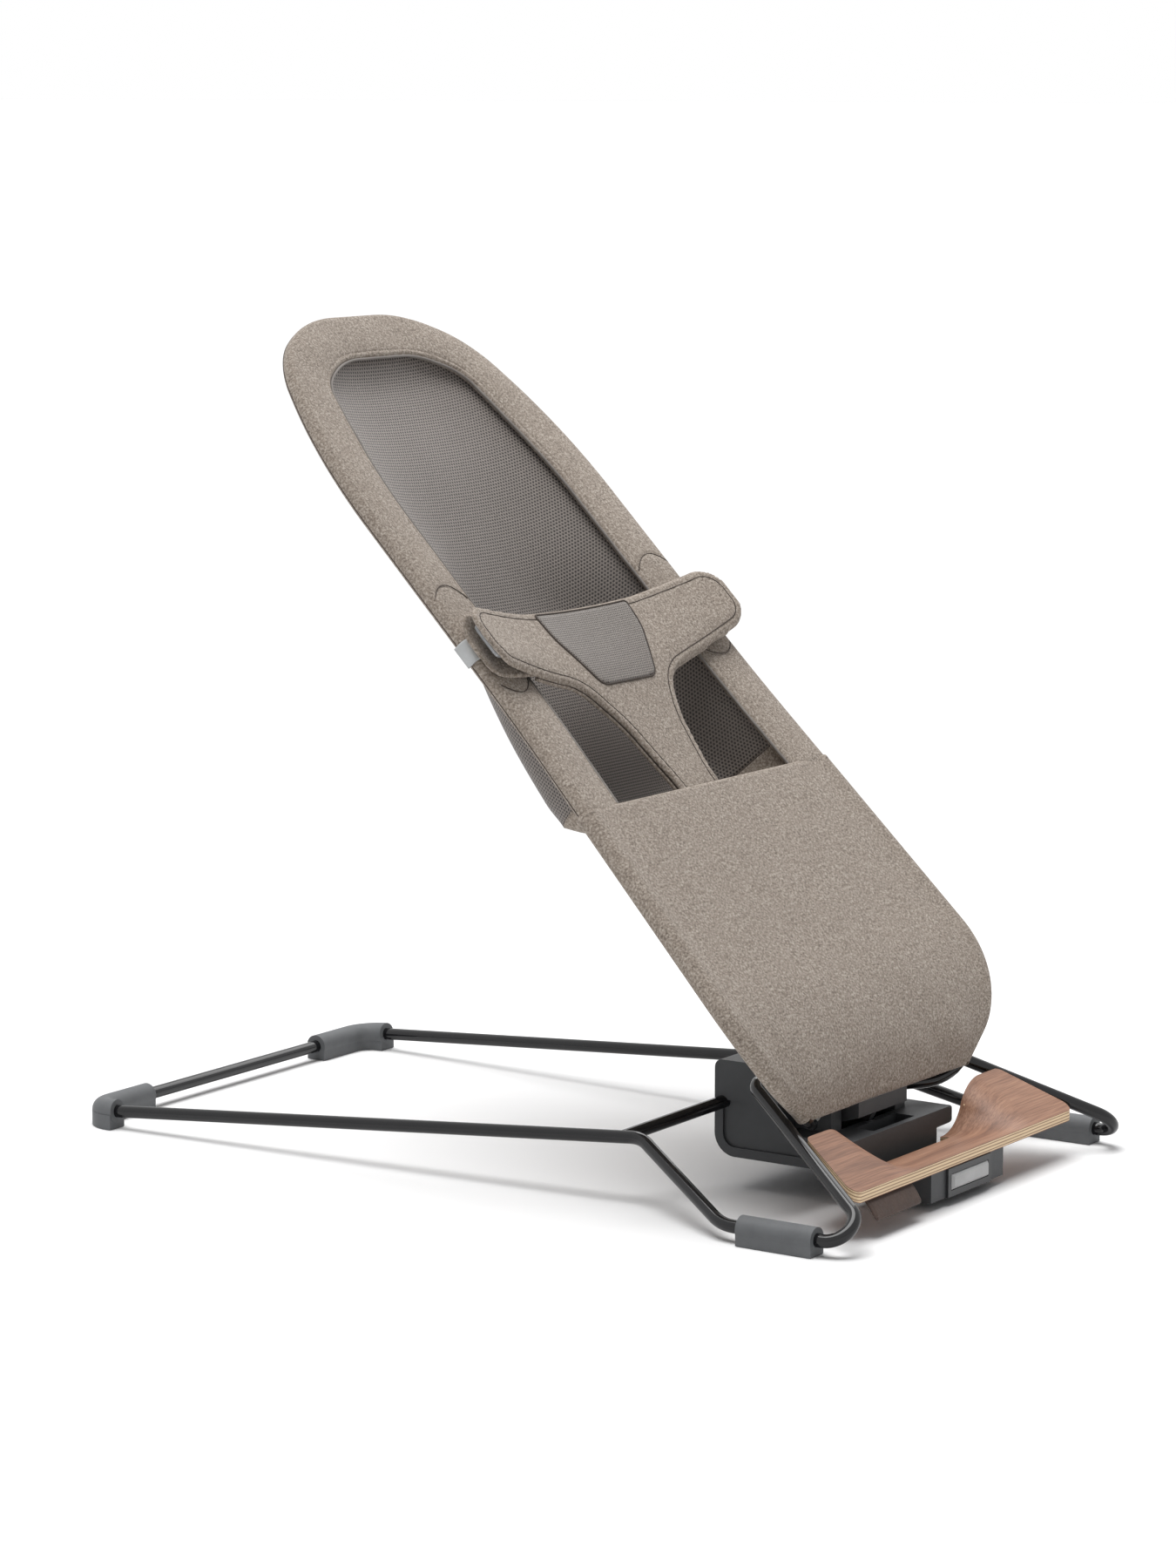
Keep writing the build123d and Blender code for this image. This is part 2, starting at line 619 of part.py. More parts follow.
upper -= prism_x(tower_cavity, HUB_HALF_W - HUB_WALL)
for boss in hub_bosses:
    upper += boss
# Slot in the deck and tower for the seat bracket and the lock
slot_half = BRACKET_HALF_W + 1.0
upper -= box_between(
    -slot_half, slot_half, PIVOT_Y - BRACKET_R - 2.0, TOWER_FRONT_Y + HUB_WALL + 1.0,
    HUB_SPLIT_Z - 1.0, HUB_SPLIT_Z + 12.0,
)
index_chord = (INDEX_R**2 - (PIVOT_Z - deck_top) ** 2) ** 0.5
upper -= box_between(
    -INDEX_T, INDEX_T, PIVOT_Y - index_chord - 1.0, PIVOT_Y + INDEX_R + 1.5,
    HUB_SPLIT_Z - 1.0, PIVOT_Z + INDEX_R + 1.0,
)
# Hand grip well
well_front = DECK_FRONT_Y + HUB_WALL + SHELL_FIT
well_outer = box_between(
    -WELL_HALF_W, WELL_HALF_W, well_front, WELL_REAR_Y, WELL_FLOOR_Z, HUB_SPLIT_Z + 0.5
)
well_inner = box_between(
    -WELL_HALF_W + 2.0, WELL_HALF_W - 2.0, well_front + 2.0, WELL_REAR_Y - 2.0,
    WELL_FLOOR_Z + 2.0, deck_top + 1.0,
)
upper = upper + well_outer - well_inner
# Bearing pillars
pillar_top = PIVOT_Z
bush_r = ROD_R + PIVOT_FIT + BUSH_WALL
for sx in (-1, 1):
    x0 = min(sx * PILLAR_IN, sx * (PILLAR_IN + PILLAR_T))
    pillar = box_between(
        x0, x0 + PILLAR_T, PIVOT_Y - PILLAR_HALF_L, PIVOT_Y + PILLAR_HALF_L,
        HUB_SPLIT_Z, pillar_top,
    )
    upper += pillar
    upper -= cyl_x(x0 - 1.0, x0 + PILLAR_T + 1.0, PIVOT_Y, PIVOT_Z, bush_r)

bearing_caps = []
bushes = []
cap_screws = []
cap_screw_y = (bush_r + PILLAR_HALF_L) / 2
cap_screw_len = CAP_T + CAP_SCREW_GRIP
cap_clear = bush_r + CAP_WALL + PILLAR_HALF_L
for sx in (-1, 1):
    x0 = min(sx * PILLAR_IN, sx * (PILLAR_IN + PILLAR_T))
    xm = x0 + PILLAR_T / 2
    arch = cyl_x(x0, x0 + PILLAR_T, PIVOT_Y, PIVOT_Z, bush_r + CAP_WALL)
    arch += box_between(
        x0, x0 + PILLAR_T, PIVOT_Y - PILLAR_HALF_L, PIVOT_Y + PILLAR_HALF_L,
        PIVOT_Z, PIVOT_Z + CAP_T,
    )
    arch -= box_between(
        x0 - 1.0, x0 + PILLAR_T + 1.0, PIVOT_Y - cap_clear, PIVOT_Y + cap_clear,
        PIVOT_Z - cap_clear, PIVOT_Z,
    )
    arch -= cyl_x(x0 - 1.0, x0 + PILLAR_T + 1.0, PIVOT_Y, PIVOT_Z, bush_r)
    for sy in (-1, 1):
        y = PIVOT_Y + sy * cap_screw_y
        z0 = PIVOT_Z + CAP_T - cap_screw_len
        shank = cyl_z(xm, y, z0, PIVOT_Z + CAP_T, CAP_SCREW_R)
        head_top = PIVOT_Z + CAP_T + CAP_SCREW_HEAD_T
        head = cyl_z(xm, y, PIVOT_Z + CAP_T, head_top, CAP_SCREW_R * 1.55)
        hole = cyl_z(xm, y, z0 - SCREW_FIT, PIVOT_Z + CAP_T + 1.0, CAP_SCREW_R + SCREW_FIT)
        cap_screws.append(shank + head)
        arch -= hole
        upper -= hole
    bearing_caps.append(max(arch.solids(), key=lambda s: s.volume))
    bush = cyl_x(x0, x0 + PILLAR_T, PIVOT_Y, PIVOT_Z, bush_r)
    bush -= cyl_x(x0 - 1.0, x0 + PILLAR_T + 1.0, PIVOT_Y, PIVOT_Z, ROD_R + PIVOT_FIT)
    bushes.append(bush)

# Rod holes through the tower sides
cross_bore = cyl_x(-HUB_HALF_W * 2, HUB_HALF_W * 2, TOP_Y, TOP_Z, ROD_R + FOOT_FIT)
brace_dir = (brace_end - brace_start).normalized()
brace_plane = Plane(origin=brace_start, z_dir=brace_dir)
brace_len = (brace_end - brace_start).length + 1.0
brace_bore = extrude(brace_plane * Circle(ROD_R + FOOT_FIT), brace_len)
# Sockets inside the tower hold the brace ends
socket_plane = Plane(origin=brace_end + brace_dir * 2.0, z_dir=-brace_dir)
socket_len = (HUB_HALF_W - BRACE_HUB_X) / abs(brace_dir.X)
socket = extrude(socket_plane * Circle(ROD_R + 2.5), socket_len)
socket &= box_between(0, HUB_HALF_W - HUB_WALL / 2, HUB_REAR_Y * 2, 0, 0, HUB_TOP_Z)
upper += socket
upper += mirror_x(socket)
upper -= cross_bore
upper -= brace_bore
upper -= mirror_x(brace_bore)
hub_upper_shell = max(upper.solids(), key=lambda s: s.volume)

# Side covers
cover_profile = [
    (HUB_REAR_Y, HUB_TOP_Z),
    (HUB_REAR_Y, HUB_FLOOR_Z),
    (TONGUE_ROOT_Y - 14.0, HUB_FLOOR_Z),
    (DECK_FRONT_Y, front_wall_z),
    (DECK_FRONT_Y, deck_top),
    (TOWER_FRONT_Y - 4.0, deck_top),
    (TOWER_FRONT_Y, deck_top + 4.0),
    (TOWER_FRONT_Y, TOWER_BROW_Z - 6.0),
    (TOWER_BROW_Y, TOWER_BROW_Z),
    (TOWER_BROW_Y, HUB_TOP_Z),
]
cover_line = FilletPolyline(
    *[(y, z) for y, z in cover_profile],
    radius=[6.0, HUB_CORNER_R, 5.0, 4.0, 2.0, 2.0, 2.0, 2.0, 2.0, 6.0],
    close=True,
)
cover_face = make_face(cover_line)
cover_plane = Plane(origin=(HUB_HALF_W, 0, 0), x_dir=(0, 1, 0), z_dir=(1, 0, 0))
cover = extrude(cover_plane * cover_face, COVER_T)
dish_profile = [
    (HUB_REAR_Y - COVER_RIM, HUB_TOP_Z - COVER_RIM - COVER_BROW_DROP),
    (HUB_REAR_Y - COVER_RIM, HUB_FLOOR_Z + COVER_RIM),
    (TONGUE_ROOT_Y - 10.0, HUB_FLOOR_Z + COVER_RIM),
    (TONGUE_ROOT_Y - 10.0, deck_top - COVER_RIM),
    (TOWER_FRONT_Y + COVER_RIM, deck_top - COVER_RIM),
    (TOWER_FRONT_Y + COVER_RIM, HUB_TOP_Z - COVER_RIM - COVER_BROW_DROP),
]
dish_line = FilletPolyline(
    *dish_profile, radius=[3.0, HUB_CORNER_R - COVER_RIM, 2.0, 2.0, 2.0, 3.0], close=True
)
dish_plane = Plane(
    origin=(HUB_HALF_W + COVER_T - COVER_DISH, 0, 0), x_dir=(0, 1, 0), z_dir=(1, 0, 0)
)
cover -= extrude(dish_plane * make_face(dish_line), COVER_DISH + 1.0)
cover -= cross_bore
cover -= brace_bore
hub_side_cover = max(cover.solids(), key=lambda s: s.volume)

# Button, its bezel, and the yoke that draws the lock pin back
button = box_between(
    -BUTTON_HALF_W, BUTTON_HALF_W, TONGUE_FRONT_Y - BUTTON_PROUD, button_back_y,
    BUTTON_Z - BUTTON_H / 2, BUTTON_Z + BUTTON_H / 2,
)
button_front = button.faces().sort_by(Axis.Y)[0].edges()
button = chamfer(button_front, 1.8)
bezel = box_between(
    -BUTTON_HALF_W - BUTTON_FIT - BEZEL_RIM, BUTTON_HALF_W + BUTTON_FIT + BEZEL_RIM,
    TONGUE_FRONT_Y - BEZEL_T, TONGUE_FRONT_Y,
    TONGUE_FLOOR_Z, tongue_top_front - SHELL_FIT,
)
bezel -= button_window
pin_reach = INDEX_R + LOCK_PIN_R + LOCK_PIN_GAP
pin_y = PIVOT_Y + pin_reach * cos(radians(LOCK_PIN_ANGLE))
pin_z = PIVOT_Z + pin_reach * sin(radians(LOCK_PIN_ANGLE))
low_z = TONGUE_FLOOR_Z + HUB_WALL + 1.0
yoke_end_y = pin_y + LOCK_PIN_R + 1.5
ramp_y = DECK_FRONT_Y + YOKE_RAMP_START
bar_profile = [
    (button_back_y, low_z),
    (ramp_y, low_z),
    (ramp_y + YOKE_RAMP, YOKE_HIGH_Z),
    (yoke_end_y, YOKE_HIGH_Z),
    (yoke_end_y, YOKE_HIGH_Z + YOKE_T),
    (ramp_y + YOKE_RAMP - YOKE_MITRE, YOKE_HIGH_Z + YOKE_T),
    (ramp_y - YOKE_MITRE, low_z + YOKE_T),
    (button_back_y, low_z + YOKE_T),
]
yoke = Pos(YOKE_X, 0, 0) * prism_x(bar_profile, YOKE_T / 2)
yoke += Pos(-YOKE_X, 0, 0) * prism_x(bar_profile, YOKE_T / 2)
yoke += box_between(
    -YOKE_X - YOKE_T / 2, YOKE_X + YOKE_T / 2, button_back_y, yoke_back_y,
    low_z, low_z + SPRING_D + 1.0,
)
yoke += box_between(
    -YOKE_X - YOKE_T / 2, YOKE_X + YOKE_T / 2, pin_y - LOCK_PIN_R - 1.5, yoke_end_y,
    YOKE_HIGH_Z, YOKE_HIGH_Z + YOKE_T,
)
pin_half = BRACKET_HALF_W - 6.0
for sx in (-1, 1):
    xm = sx * (pin_half - 2.0)
    yoke += box_between(
        xm - 2.0, xm + 2.0, pin_y - LOCK_PIN_R, yoke_end_y,
        YOKE_HIGH_Z + YOKE_T - 1.0, pin_z + LOCK_PIN_R,
    )
yoke -= cyl_x(-pin_half - 1.0, pin_half + 1.0, pin_y, pin_z, LOCK_PIN_R + SCREW_FIT)
release_yoke = max(yoke.solids(), key=lambda s: s.volume)
lock_pin = cyl_x(-pin_half, pin_half, pin_y, pin_z, LOCK_PIN_R)
spring_plane = Plane(
    origin=(0, yoke_back_y + 0.05, spring_z), x_dir=(1, 0, 0), z_dir=(0, 1, 0)
)
button_spring = extrude(
    spring_plane * (Circle(SPRING_D / 2) - Circle(SPRING_D / 2 - SPRING_WIRE)), SPRING_LENGTH
)

# Blank leather tag hanging under the plate's front edge
tag_y = PLY_FRONT_Y + 3.0
tag_top = PLY_FRONT_Z - PLY_T - SOFT_GAP
tag = box_between(-TAG_W / 2, TAG_W / 2, 0, TAG_T, -TAG_H, 0)
tag = fillet(tag.edges().filter_by(Axis.Y).sort_by(Axis.Z)[:2], 3.0)
leather_tag = Pos(TAG_X, tag_y, tag_top) * Rot(-TAG_TILT, 0, 0) * tag

# Seat rods: from the pivot out to the corner, up to the knee and round the head
back_points = [
    (WAIST_HALF_W, WAIST_T),
    (SHOULDER_HALF_W, SHOULDER_T),
    (CROWN_HALF_W, CROWN_T),
    (TOP_HALF_ARC, HEAD_T),
    (0.0, HEAD_T),
]
seat_points = [
    (SEAT_END_X, PIVOT_Y, PIVOT_Z),
    (SEAT_BEND_X, PIVOT_Y, PIVOT_Z),
    (SEAT_CORNER_X, SEAT_CORNER_Y, SEAT_CORNER_Z),
    seat(KNEE_HALF_W, 0.0),
] + [seat(x, t) for x, t in back_points]
seat_radii = fitted_radii(
    seat_points,
    [SEAT_BEND_R, SEAT_CORNER_R, KNEE_R, WAIST_R, SHOULDER_R, CROWN_R, TOP_ARC_R],
)
seat_rod = rod(seat_points, seat_radii)


def on_back(t):
    # Half width of the seat rod at one distance up the straight sides.
    if t <= WAIST_T:
        return KNEE_HALF_W + (WAIST_HALF_W - KNEE_HALF_W) * t / WAIST_T
    share = (t - WAIST_T) / (SHOULDER_T - WAIST_T)
    return WAIST_HALF_W + (SHOULDER_HALF_W - WAIST_HALF_W) * share


# Bracket that clamps both rod ends, with a front flange under the cover's hem
flange_y = SEAT_CORNER_Y + 2.0
flange_profile = [
    (PIVOT_Y - 4.0, PIVOT_Z - BRACKET_R + 1.0),
    (flange_y, PIVOT_Z - 4.0),
    (flange_y, PIVOT_Z + 7.0),
    (flange_y + BRACKET_FLANGE_T, PIVOT_Z + 7.0),
    (PIVOT_Y - 4.0, PIVOT_Z + BRACKET_R - 3.0),
]
bracket = cyl_x(-BRACKET_HALF_W, BRACKET_HALF_W, PIVOT_Y, PIVOT_Z, BRACKET_R)
bracket += prism_x(flange_profile, BRACKET_HALF_W - 1.0)
index_room = INDEX_R + 1.0
bracket -= box_between(
    -INDEX_T / 2 - SHELL_FIT, INDEX_T / 2 + SHELL_FIT, PIVOT_Y - index_room,
    PIVOT_Y + index_room, PIVOT_Z - index_room, PIVOT_Z + index_room,
)
bracket -= cyl_x(-BRACKET_HALF_W - 1, BRACKET_HALF_W + 1, PIVOT_Y, PIVOT_Z, ROD_R + SCREW_FIT)
seat_bracket = max(bracket.solids(), key=lambda s: s.volume)

index_plate = cyl_x(-INDEX_T / 2, INDEX_T / 2, PIVOT_Y, PIVOT_Z, INDEX_R)
for step in RECLINE_STEPS:
    a = radians(LOCK_PIN_ANGLE + step)
    index_plate -= cyl_x(
        -INDEX_T, INDEX_T, PIVOT_Y + INDEX_R * cos(a), PIVOT_Z + INDEX_R * sin(a), NOTCH_R
    )

# Padded rim above the pocket edge: a sleeve round the rod with a flat band inwards
rim_in = RIM_WIDTH - RIM_R
rim_t0 = PANEL_TOP_T + SOFT_GAP
rim_from = rim_t0 - RIM_R
rim_path = FilletPolyline(
    (on_back(rim_from), rim_from), *back_points, radius=seat_radii[3:]
)
rim_dir = rim_path % 0
rim_plane = Plane(origin=rim_path @ 0, x_dir=(-rim_dir.Y, rim_dir.X, 0), z_dir=rim_dir)
band_root = RIM_R - 0.4
band_edge = RIM_EDGE_T / 2


def band_half(u):
    # Half thickness of the band at one distance in from the rod.
    return band_root + (band_edge - band_root) * u / rim_in


rim_face = Circle(RIM_R) + make_face(
    Polyline(
        (0, band_root), (rim_in, band_edge), (rim_in, -band_edge), (0, -band_root), close=True
    )
)
rim_face -= Circle(ROD_R + SHELL_FIT)
rim_half = sweep(rim_plane * rim_face, path=rim_path)
rim_half &= box_between(0, KNEE_HALF_W * 2, rim_t0, HEAD_T * 2, -RIM_WIDTH, RIM_WIDTH)
rim_cover = SEAT_PLANE.location * (rim_half + mirror_x(rim_half))

# Mesh bag hanging inside the rim, lapped under the band's inner edge
bag_line = []
for i in range(241):
    p = rim_path @ (i / 240)
    d = rim_path % (i / 240)
    reach = rim_in - BAG_LAP
    bag_line.append((p.X - d.Y * reach, p.Y + d.X * reach))
bag_top_v = -band_half(rim_in - BAG_LAP) - SOFT_GAP
bag_high_t = HEAD_T - rim_in - 2.0


def bag_width(t):
    # Half width of the bag's edge under the band.
    for (x0, t0), (x1, t1) in zip(bag_line[:-1], bag_line[1:]):
        if t0 <= t <= t1:
            return x0 + (x1 - x0) * (t - t0) / (t1 - t0)
    return on_back(t) - rim_in + BAG_LAP


def trough(t, half_w, edge_v, draw_in, corner_v, low_v):
    # Hanging section across the seat: steep sides and a bowed bottom.
    plane = Plane(origin=(0, t, 0), x_dir=(1, 0, 0), z_dir=(0, -1, 0))
    spans = []
    ends = []
    for inset in (0.0, BAG_T):
        top = half_w - inset
        side = half_w - draw_in - inset
        corner = corner_v + inset
        spans.append(Line((-top, edge_v), (-side, corner)))
        spans.append(ThreePointArc((-side, corner), (0, low_v + inset), (side, corner)))
        spans.append(Line((side, corner), (top, edge_v)))
        ends.append(top)
    spans.append(Line((-ends[0], edge_v), (-ends[1], edge_v)))
    spans.append(Line((ends[0], edge_v), (ends[1], edge_v)))
    return plane * make_face(spans)


bag_sections = []
deepest = max(depth for share, depth in BAG_DEPTHS)
for share, depth in BAG_DEPTHS:
    t = BAG_LOW_T + (bag_high_t - BAG_LOW_T) * share
    draw_in = BAG_FOOT_W * depth / deepest
    corner = bag_top_v - (depth + bag_top_v) * BAG_CORNER_SHARE
    bag_sections.append(trough(t, bag_width(t), bag_top_v, draw_in, corner, -depth))
mesh_bag = SEAT_PLANE.location * loft(bag_sections)

# Fabric gusset that closes the low end of the bag, up to the leg panel's back
panel_v = ROD_R - PANEL_SINK
gusset_t0 = BAG_LOW_T - SOFT_GAP
low_depth = BAG_DEPTHS[0][1]
low_corner = bag_top_v - (low_depth + bag_top_v) * BAG_CORNER_SHARE
gusset_w = on_back(gusset_t0) - rim_in - 3.0
gusset_top = panel_v - SOFT_GAP
gusset_t1 = gusset_t0 + (PANEL_TOP_T - gusset_t0) * 0.4
gusset_t2 = PANEL_TOP_T + (GUSSET_END_T - PANEL_TOP_T) * 0.2
bag_gusset = SEAT_PLANE.location * loft(
    [
        trough(gusset_t0, bag_width(gusset_t0), bag_top_v, BAG_FOOT_W, low_corner, -low_depth),
        trough(gusset_t1, gusset_w, bag_top_v, BAG_FOOT_W, low_corner * 0.82, -low_depth * 0.84),
        trough(gusset_t2, gusset_w - 2.0, 0.0, BAG_FOOT_W, low_corner * 0.4, -low_depth * 0.45),
        trough(GUSSET_END_T, gusset_w - 4.0, gusset_top, 1.0, gusset_top - 3.6, gusset_top - 4.6),
    ]
)

# Taut leg panel from the pocket edge down to the hem, with a sleeve round each rod
corner_pt = Vector(*seat_points[2])
knee_pt = Vector(*seat_points[3])
shin = (knee_pt - corner_pt).normalized()
shin_turn = (corner_pt - Vector(*seat_points[1])).get_angle(knee_pt - corner_pt)
sleeve_from = corner_pt + shin * (seat_radii[1] * tan(radians(shin_turn / 2)) + 2.0)
sleeve_t = PANEL_TOP_T - SOFT_GAP * 2
sleeve_path = FilletPolyline(
    sleeve_from, knee_pt, Vector(*seat(on_back(sleeve_t), sleeve_t)), radius=seat_radii[2]
)
sleeve_plane = Plane(origin=sleeve_path @ 0, z_dir=sleeve_path % 0)
sleeve = sweep(sleeve_plane * Circle(SLEEVE_R), path=sleeve_path)
past_t = PANEL_TOP_T + RIM_WIDTH
bore_points = seat_points[:4] + [seat(on_back(past_t), past_t)]
bore_path = FilletPolyline(*bore_points, radius=seat_radii[:3])
bore_plane = Plane(origin=bore_path @ 0, z_dir=bore_path % 0)
sleeve_bore = sweep(bore_plane * Circle(ROD_R + SHELL_FIT), path=bore_path)


def panel_line(v):
    # Side line of the panel: shin, knee and back, at one distance in front.
    hem = (0, SEAT_CORNER_Y - v, PANEL_BOTTOM_Z)
    angle = radians((90 + SEAT_ANGLE) / 2)
    reach = v / sin(angle)
    knee = (0, KNEE_Y - reach * sin(angle), KNEE_Z + reach * cos(angle))
    return FilletPolyline(hem, knee, seat(0.0, PANEL_TOP_T, v), radius=KNEE_R + v)


panel_in = panel_line(panel_v)
panel_out = panel_line(panel_v + PANEL_T)
panel_band = make_face(
    [panel_in, panel_out, Line(panel_in @ 0, panel_out @ 0), Line(panel_in @ 1, panel_out @ 1)]
)
panel_sheet = extrude(panel_band, KNEE_HALF_W * 1.5, dir=(1, 0, 0), both=True)
panel_top_z = seat(0.0, PANEL_TOP_T, panel_v + PANEL_T)[2] + 2.0
hem_share = (PANEL_BOTTOM_Z - SEAT_CORNER_Z) / (KNEE_Z - SEAT_CORNER_Z)
hem_half = SEAT_CORNER_X + (KNEE_HALF_W - SEAT_CORNER_X) * hem_share
panel_half = [
    (hem_half, PANEL_BOTTOM_Z - 1.0),
    (KNEE_HALF_W + 2.0, KNEE_Z + 3.0),
    (on_back(PANEL_TOP_T) + 2.0, panel_top_z),
]
panel_points = panel_half + [(-x, z) for x, z in reversed(panel_half)]
panel_outline = FilletPolyline(
    *panel_points, radius=[12.0, KNEE_R * 0.8, 0, 0, KNEE_R * 0.8, 12.0], close=True
)
panel_front = Plane(origin=(0, 0, 0), x_dir=(1, 0, 0), z_dir=(0, -1, 0))
panel_prism = extrude(panel_front * make_face(panel_outline), BASE_LENGTH, both=True)
panel = (panel_sheet & panel_prism) + sleeve + mirror_x(sleeve)
panel = panel - sleeve_bore - mirror_x(sleeve_bore)
leg_panel = max(panel.solids(), key=lambda s: s.volume)

# Belt: a strap out of the pocket that widens into two wings over the rim
strap_top = panel_v - SOFT_GAP
strap_profile = [
    (STRAP_START_T, strap_top - BELT_T),
    (PANEL_TOP_T + 10.0, strap_top - BELT_T),
    (BELT_LOW_T + 18.0, BELT_MID_V),
    (BELT_LOW_T + 18.0, BELT_MID_V + BELT_T),
    (PANEL_TOP_T + 10.0, strap_top),
    (STRAP_START_T, strap_top),
]
strap_face = make_face(Polyline(*[(0, t, v) for t, v in strap_profile], close=True))
strap_slab = extrude(strap_face, STRAP_TOP_HALF_W * 1.5, dir=(1, 0, 0), both=True)
strap_plan = make_face(
    Polyline(
        (-STRAP_HALF_W, STRAP_START_T), (STRAP_HALF_W, STRAP_START_T),
        (STRAP_HALF_W, PANEL_TOP_T + 10.0), (STRAP_TOP_HALF_W, BELT_LOW_T + 18.0),
        (-STRAP_TOP_HALF_W, BELT_LOW_T + 18.0), (-STRAP_HALF_W, PANEL_TOP_T + 10.0),
        close=True,
    )
)
strap = strap_slab & extrude(strap_plan, BELT_HALF_W, both=True)
arch_plane = Plane(origin=(0, BELT_LOW_T - 5.0, 0), x_dir=(1, 0, 0), z_dir=(0, -1, 0))
arch_run = BELT_WING_HIGH_T - BELT_LOW_T + 20.0


def belt_v(x):
    # Height of the wings' lower face at one distance from the middle.
    rise = BELT_TIP_V - BELT_MID_V
    r = (BELT_HALF_W**2 + rise**2) / (2 * rise)
    return BELT_MID_V + r - (r**2 - x**2) ** 0.5


def belt_arch(lift, thick):
    # Dished cross section of the wings, higher at the tips.
    low = BELT_MID_V + lift
    tip = BELT_TIP_V + lift
    w = BELT_HALF_W
    spans = [
        ThreePointArc((-w, tip), (0, low), (w, tip)),
        ThreePointArc((-w, tip + thick), (0, low + thick), (w, tip + thick)),
        Line((-w, tip), (-w, tip + thick)),
        Line((w, tip), (w, tip + thick)),
    ]
    return extrude(arch_plane * make_face(spans), -arch_run)


wing_half = [
    (STRAP_TOP_HALF_W - BELT_ROOT_IN, BELT_LOW_T),
    (STRAP_TOP_HALF_W + BELT_NECK_OUT, BELT_WING_LOW_T - BELT_NECK_DROP),
    (BELT_HALF_W - BELT_TRIM, BELT_WING_LOW_T),
    (BELT_HALF_W - BELT_TRIM, BELT_WING_HIGH_T),
    (STRAP_TOP_HALF_W + BELT_TOP_OUT, BELT_HIGH_T),
]
wing_half_radii = [BELT_ROOT_R, BELT_NECK_R, BELT_CORNER_R, BELT_CORNER_R, BELT_TOP_R]
wing_points = wing_half + [(-x, t) for x, t in reversed(wing_half)]
wing_radii = fitted_radii(
    [wing_points[-1]] + wing_points + [wing_points[0]],
    wing_half_radii + wing_half_radii[::-1],
)
wing_line = FilletPolyline(*wing_points, radius=wing_radii, close=True)
wing_prism = extrude(make_face(wing_line), BELT_HALF_W, both=True)
belt = (belt_arch(0.0, BELT_T) & wing_prism) + strap
waist_belt = SEAT_PLANE.location * max(belt.solids(), key=lambda s: s.volume)

mesh_half = [
    (BELT_MESH_HALF_W * BELT_MESH_TIP_SHARE, BELT_MESH_LOW_T),
    (BELT_MESH_HALF_W, BELT_MESH_HIGH_T - BELT_MESH_SIDE),
    (BELT_MESH_HALF_W, BELT_MESH_HIGH_T),
]
mesh_half_radii = [BELT_MESH_TIP_R, BELT_MESH_SIDE_R, BELT_MESH_TOP_R]
mesh_points = mesh_half + [(-x, t) for x, t in reversed(mesh_half)]
mesh_radii = mesh_half_radii + mesh_half_radii[::-1]
mesh_line = FilletPolyline(*mesh_points, radius=mesh_radii, close=True)
mesh_prism = extrude(make_face(mesh_line), BELT_HALF_W, both=True)
belt_mesh = SEAT_PLANE.location * (
    belt_arch(BELT_T + SOFT_GAP * 0.5, BELT_MESH_T) & mesh_prism
)

# Under-wings: the second layer of each wing, joined at the tip and further in
under_tip_x = BELT_HALF_W - 3.0
under_line = [
    (UNDER_IN, belt_v(UNDER_IN) - SOFT_GAP),
    (UNDER_MID_X, UNDER_MID_V),
    (under_tip_x, belt_v(under_tip_x) - SOFT_GAP),
]
under_points = under_line + [(x, v - UNDER_T) for x, v in reversed(under_line)]
under_plane = Plane(origin=(0, UNDER_LOW_T, 0), x_dir=(1, 0, 0), z_dir=(0, -1, 0))
under_face = make_face(Polyline(*under_points, close=True))
under_wing = SEAT_PLANE.location * extrude(
    under_plane * under_face, UNDER_LOW_T - UNDER_HIGH_T
)

# Toggles in the loop of each wing, and the webbing tabs they hook to
toggle_x = UNDER_MID_X - 2.0
toggle_v = UNDER_MID_V + 2.4
toggle_face = Pos(toggle_x, TOGGLE_T_POS) * RectangleRounded(TOGGLE_W, TOGGLE_L, TOGGLE_W * 0.4)
toggle = SEAT_PLANE.location * (Pos(0, 0, toggle_v) * extrude(toggle_face, TOGGLE_T))
tab_rod = on_back(TOGGLE_T_POS)
tab_out = tab_rod + RIM_R + SOFT_GAP
tab_v = RIM_R + SOFT_GAP
tab_t0 = TOGGLE_T_POS - TAB_W / 2
tab = box_between(
    tab_rod - TAB_REACH, tab_out + TAB_T, tab_t0, tab_t0 + TAB_W, tab_v, tab_v + TAB_T
)
tab += box_between(
    tab_out, tab_out + TAB_T, tab_t0, tab_t0 + TAB_W, -TAB_OUT, tab_v + TAB_T
)
webbing_tab = SEAT_PLANE.location * tab

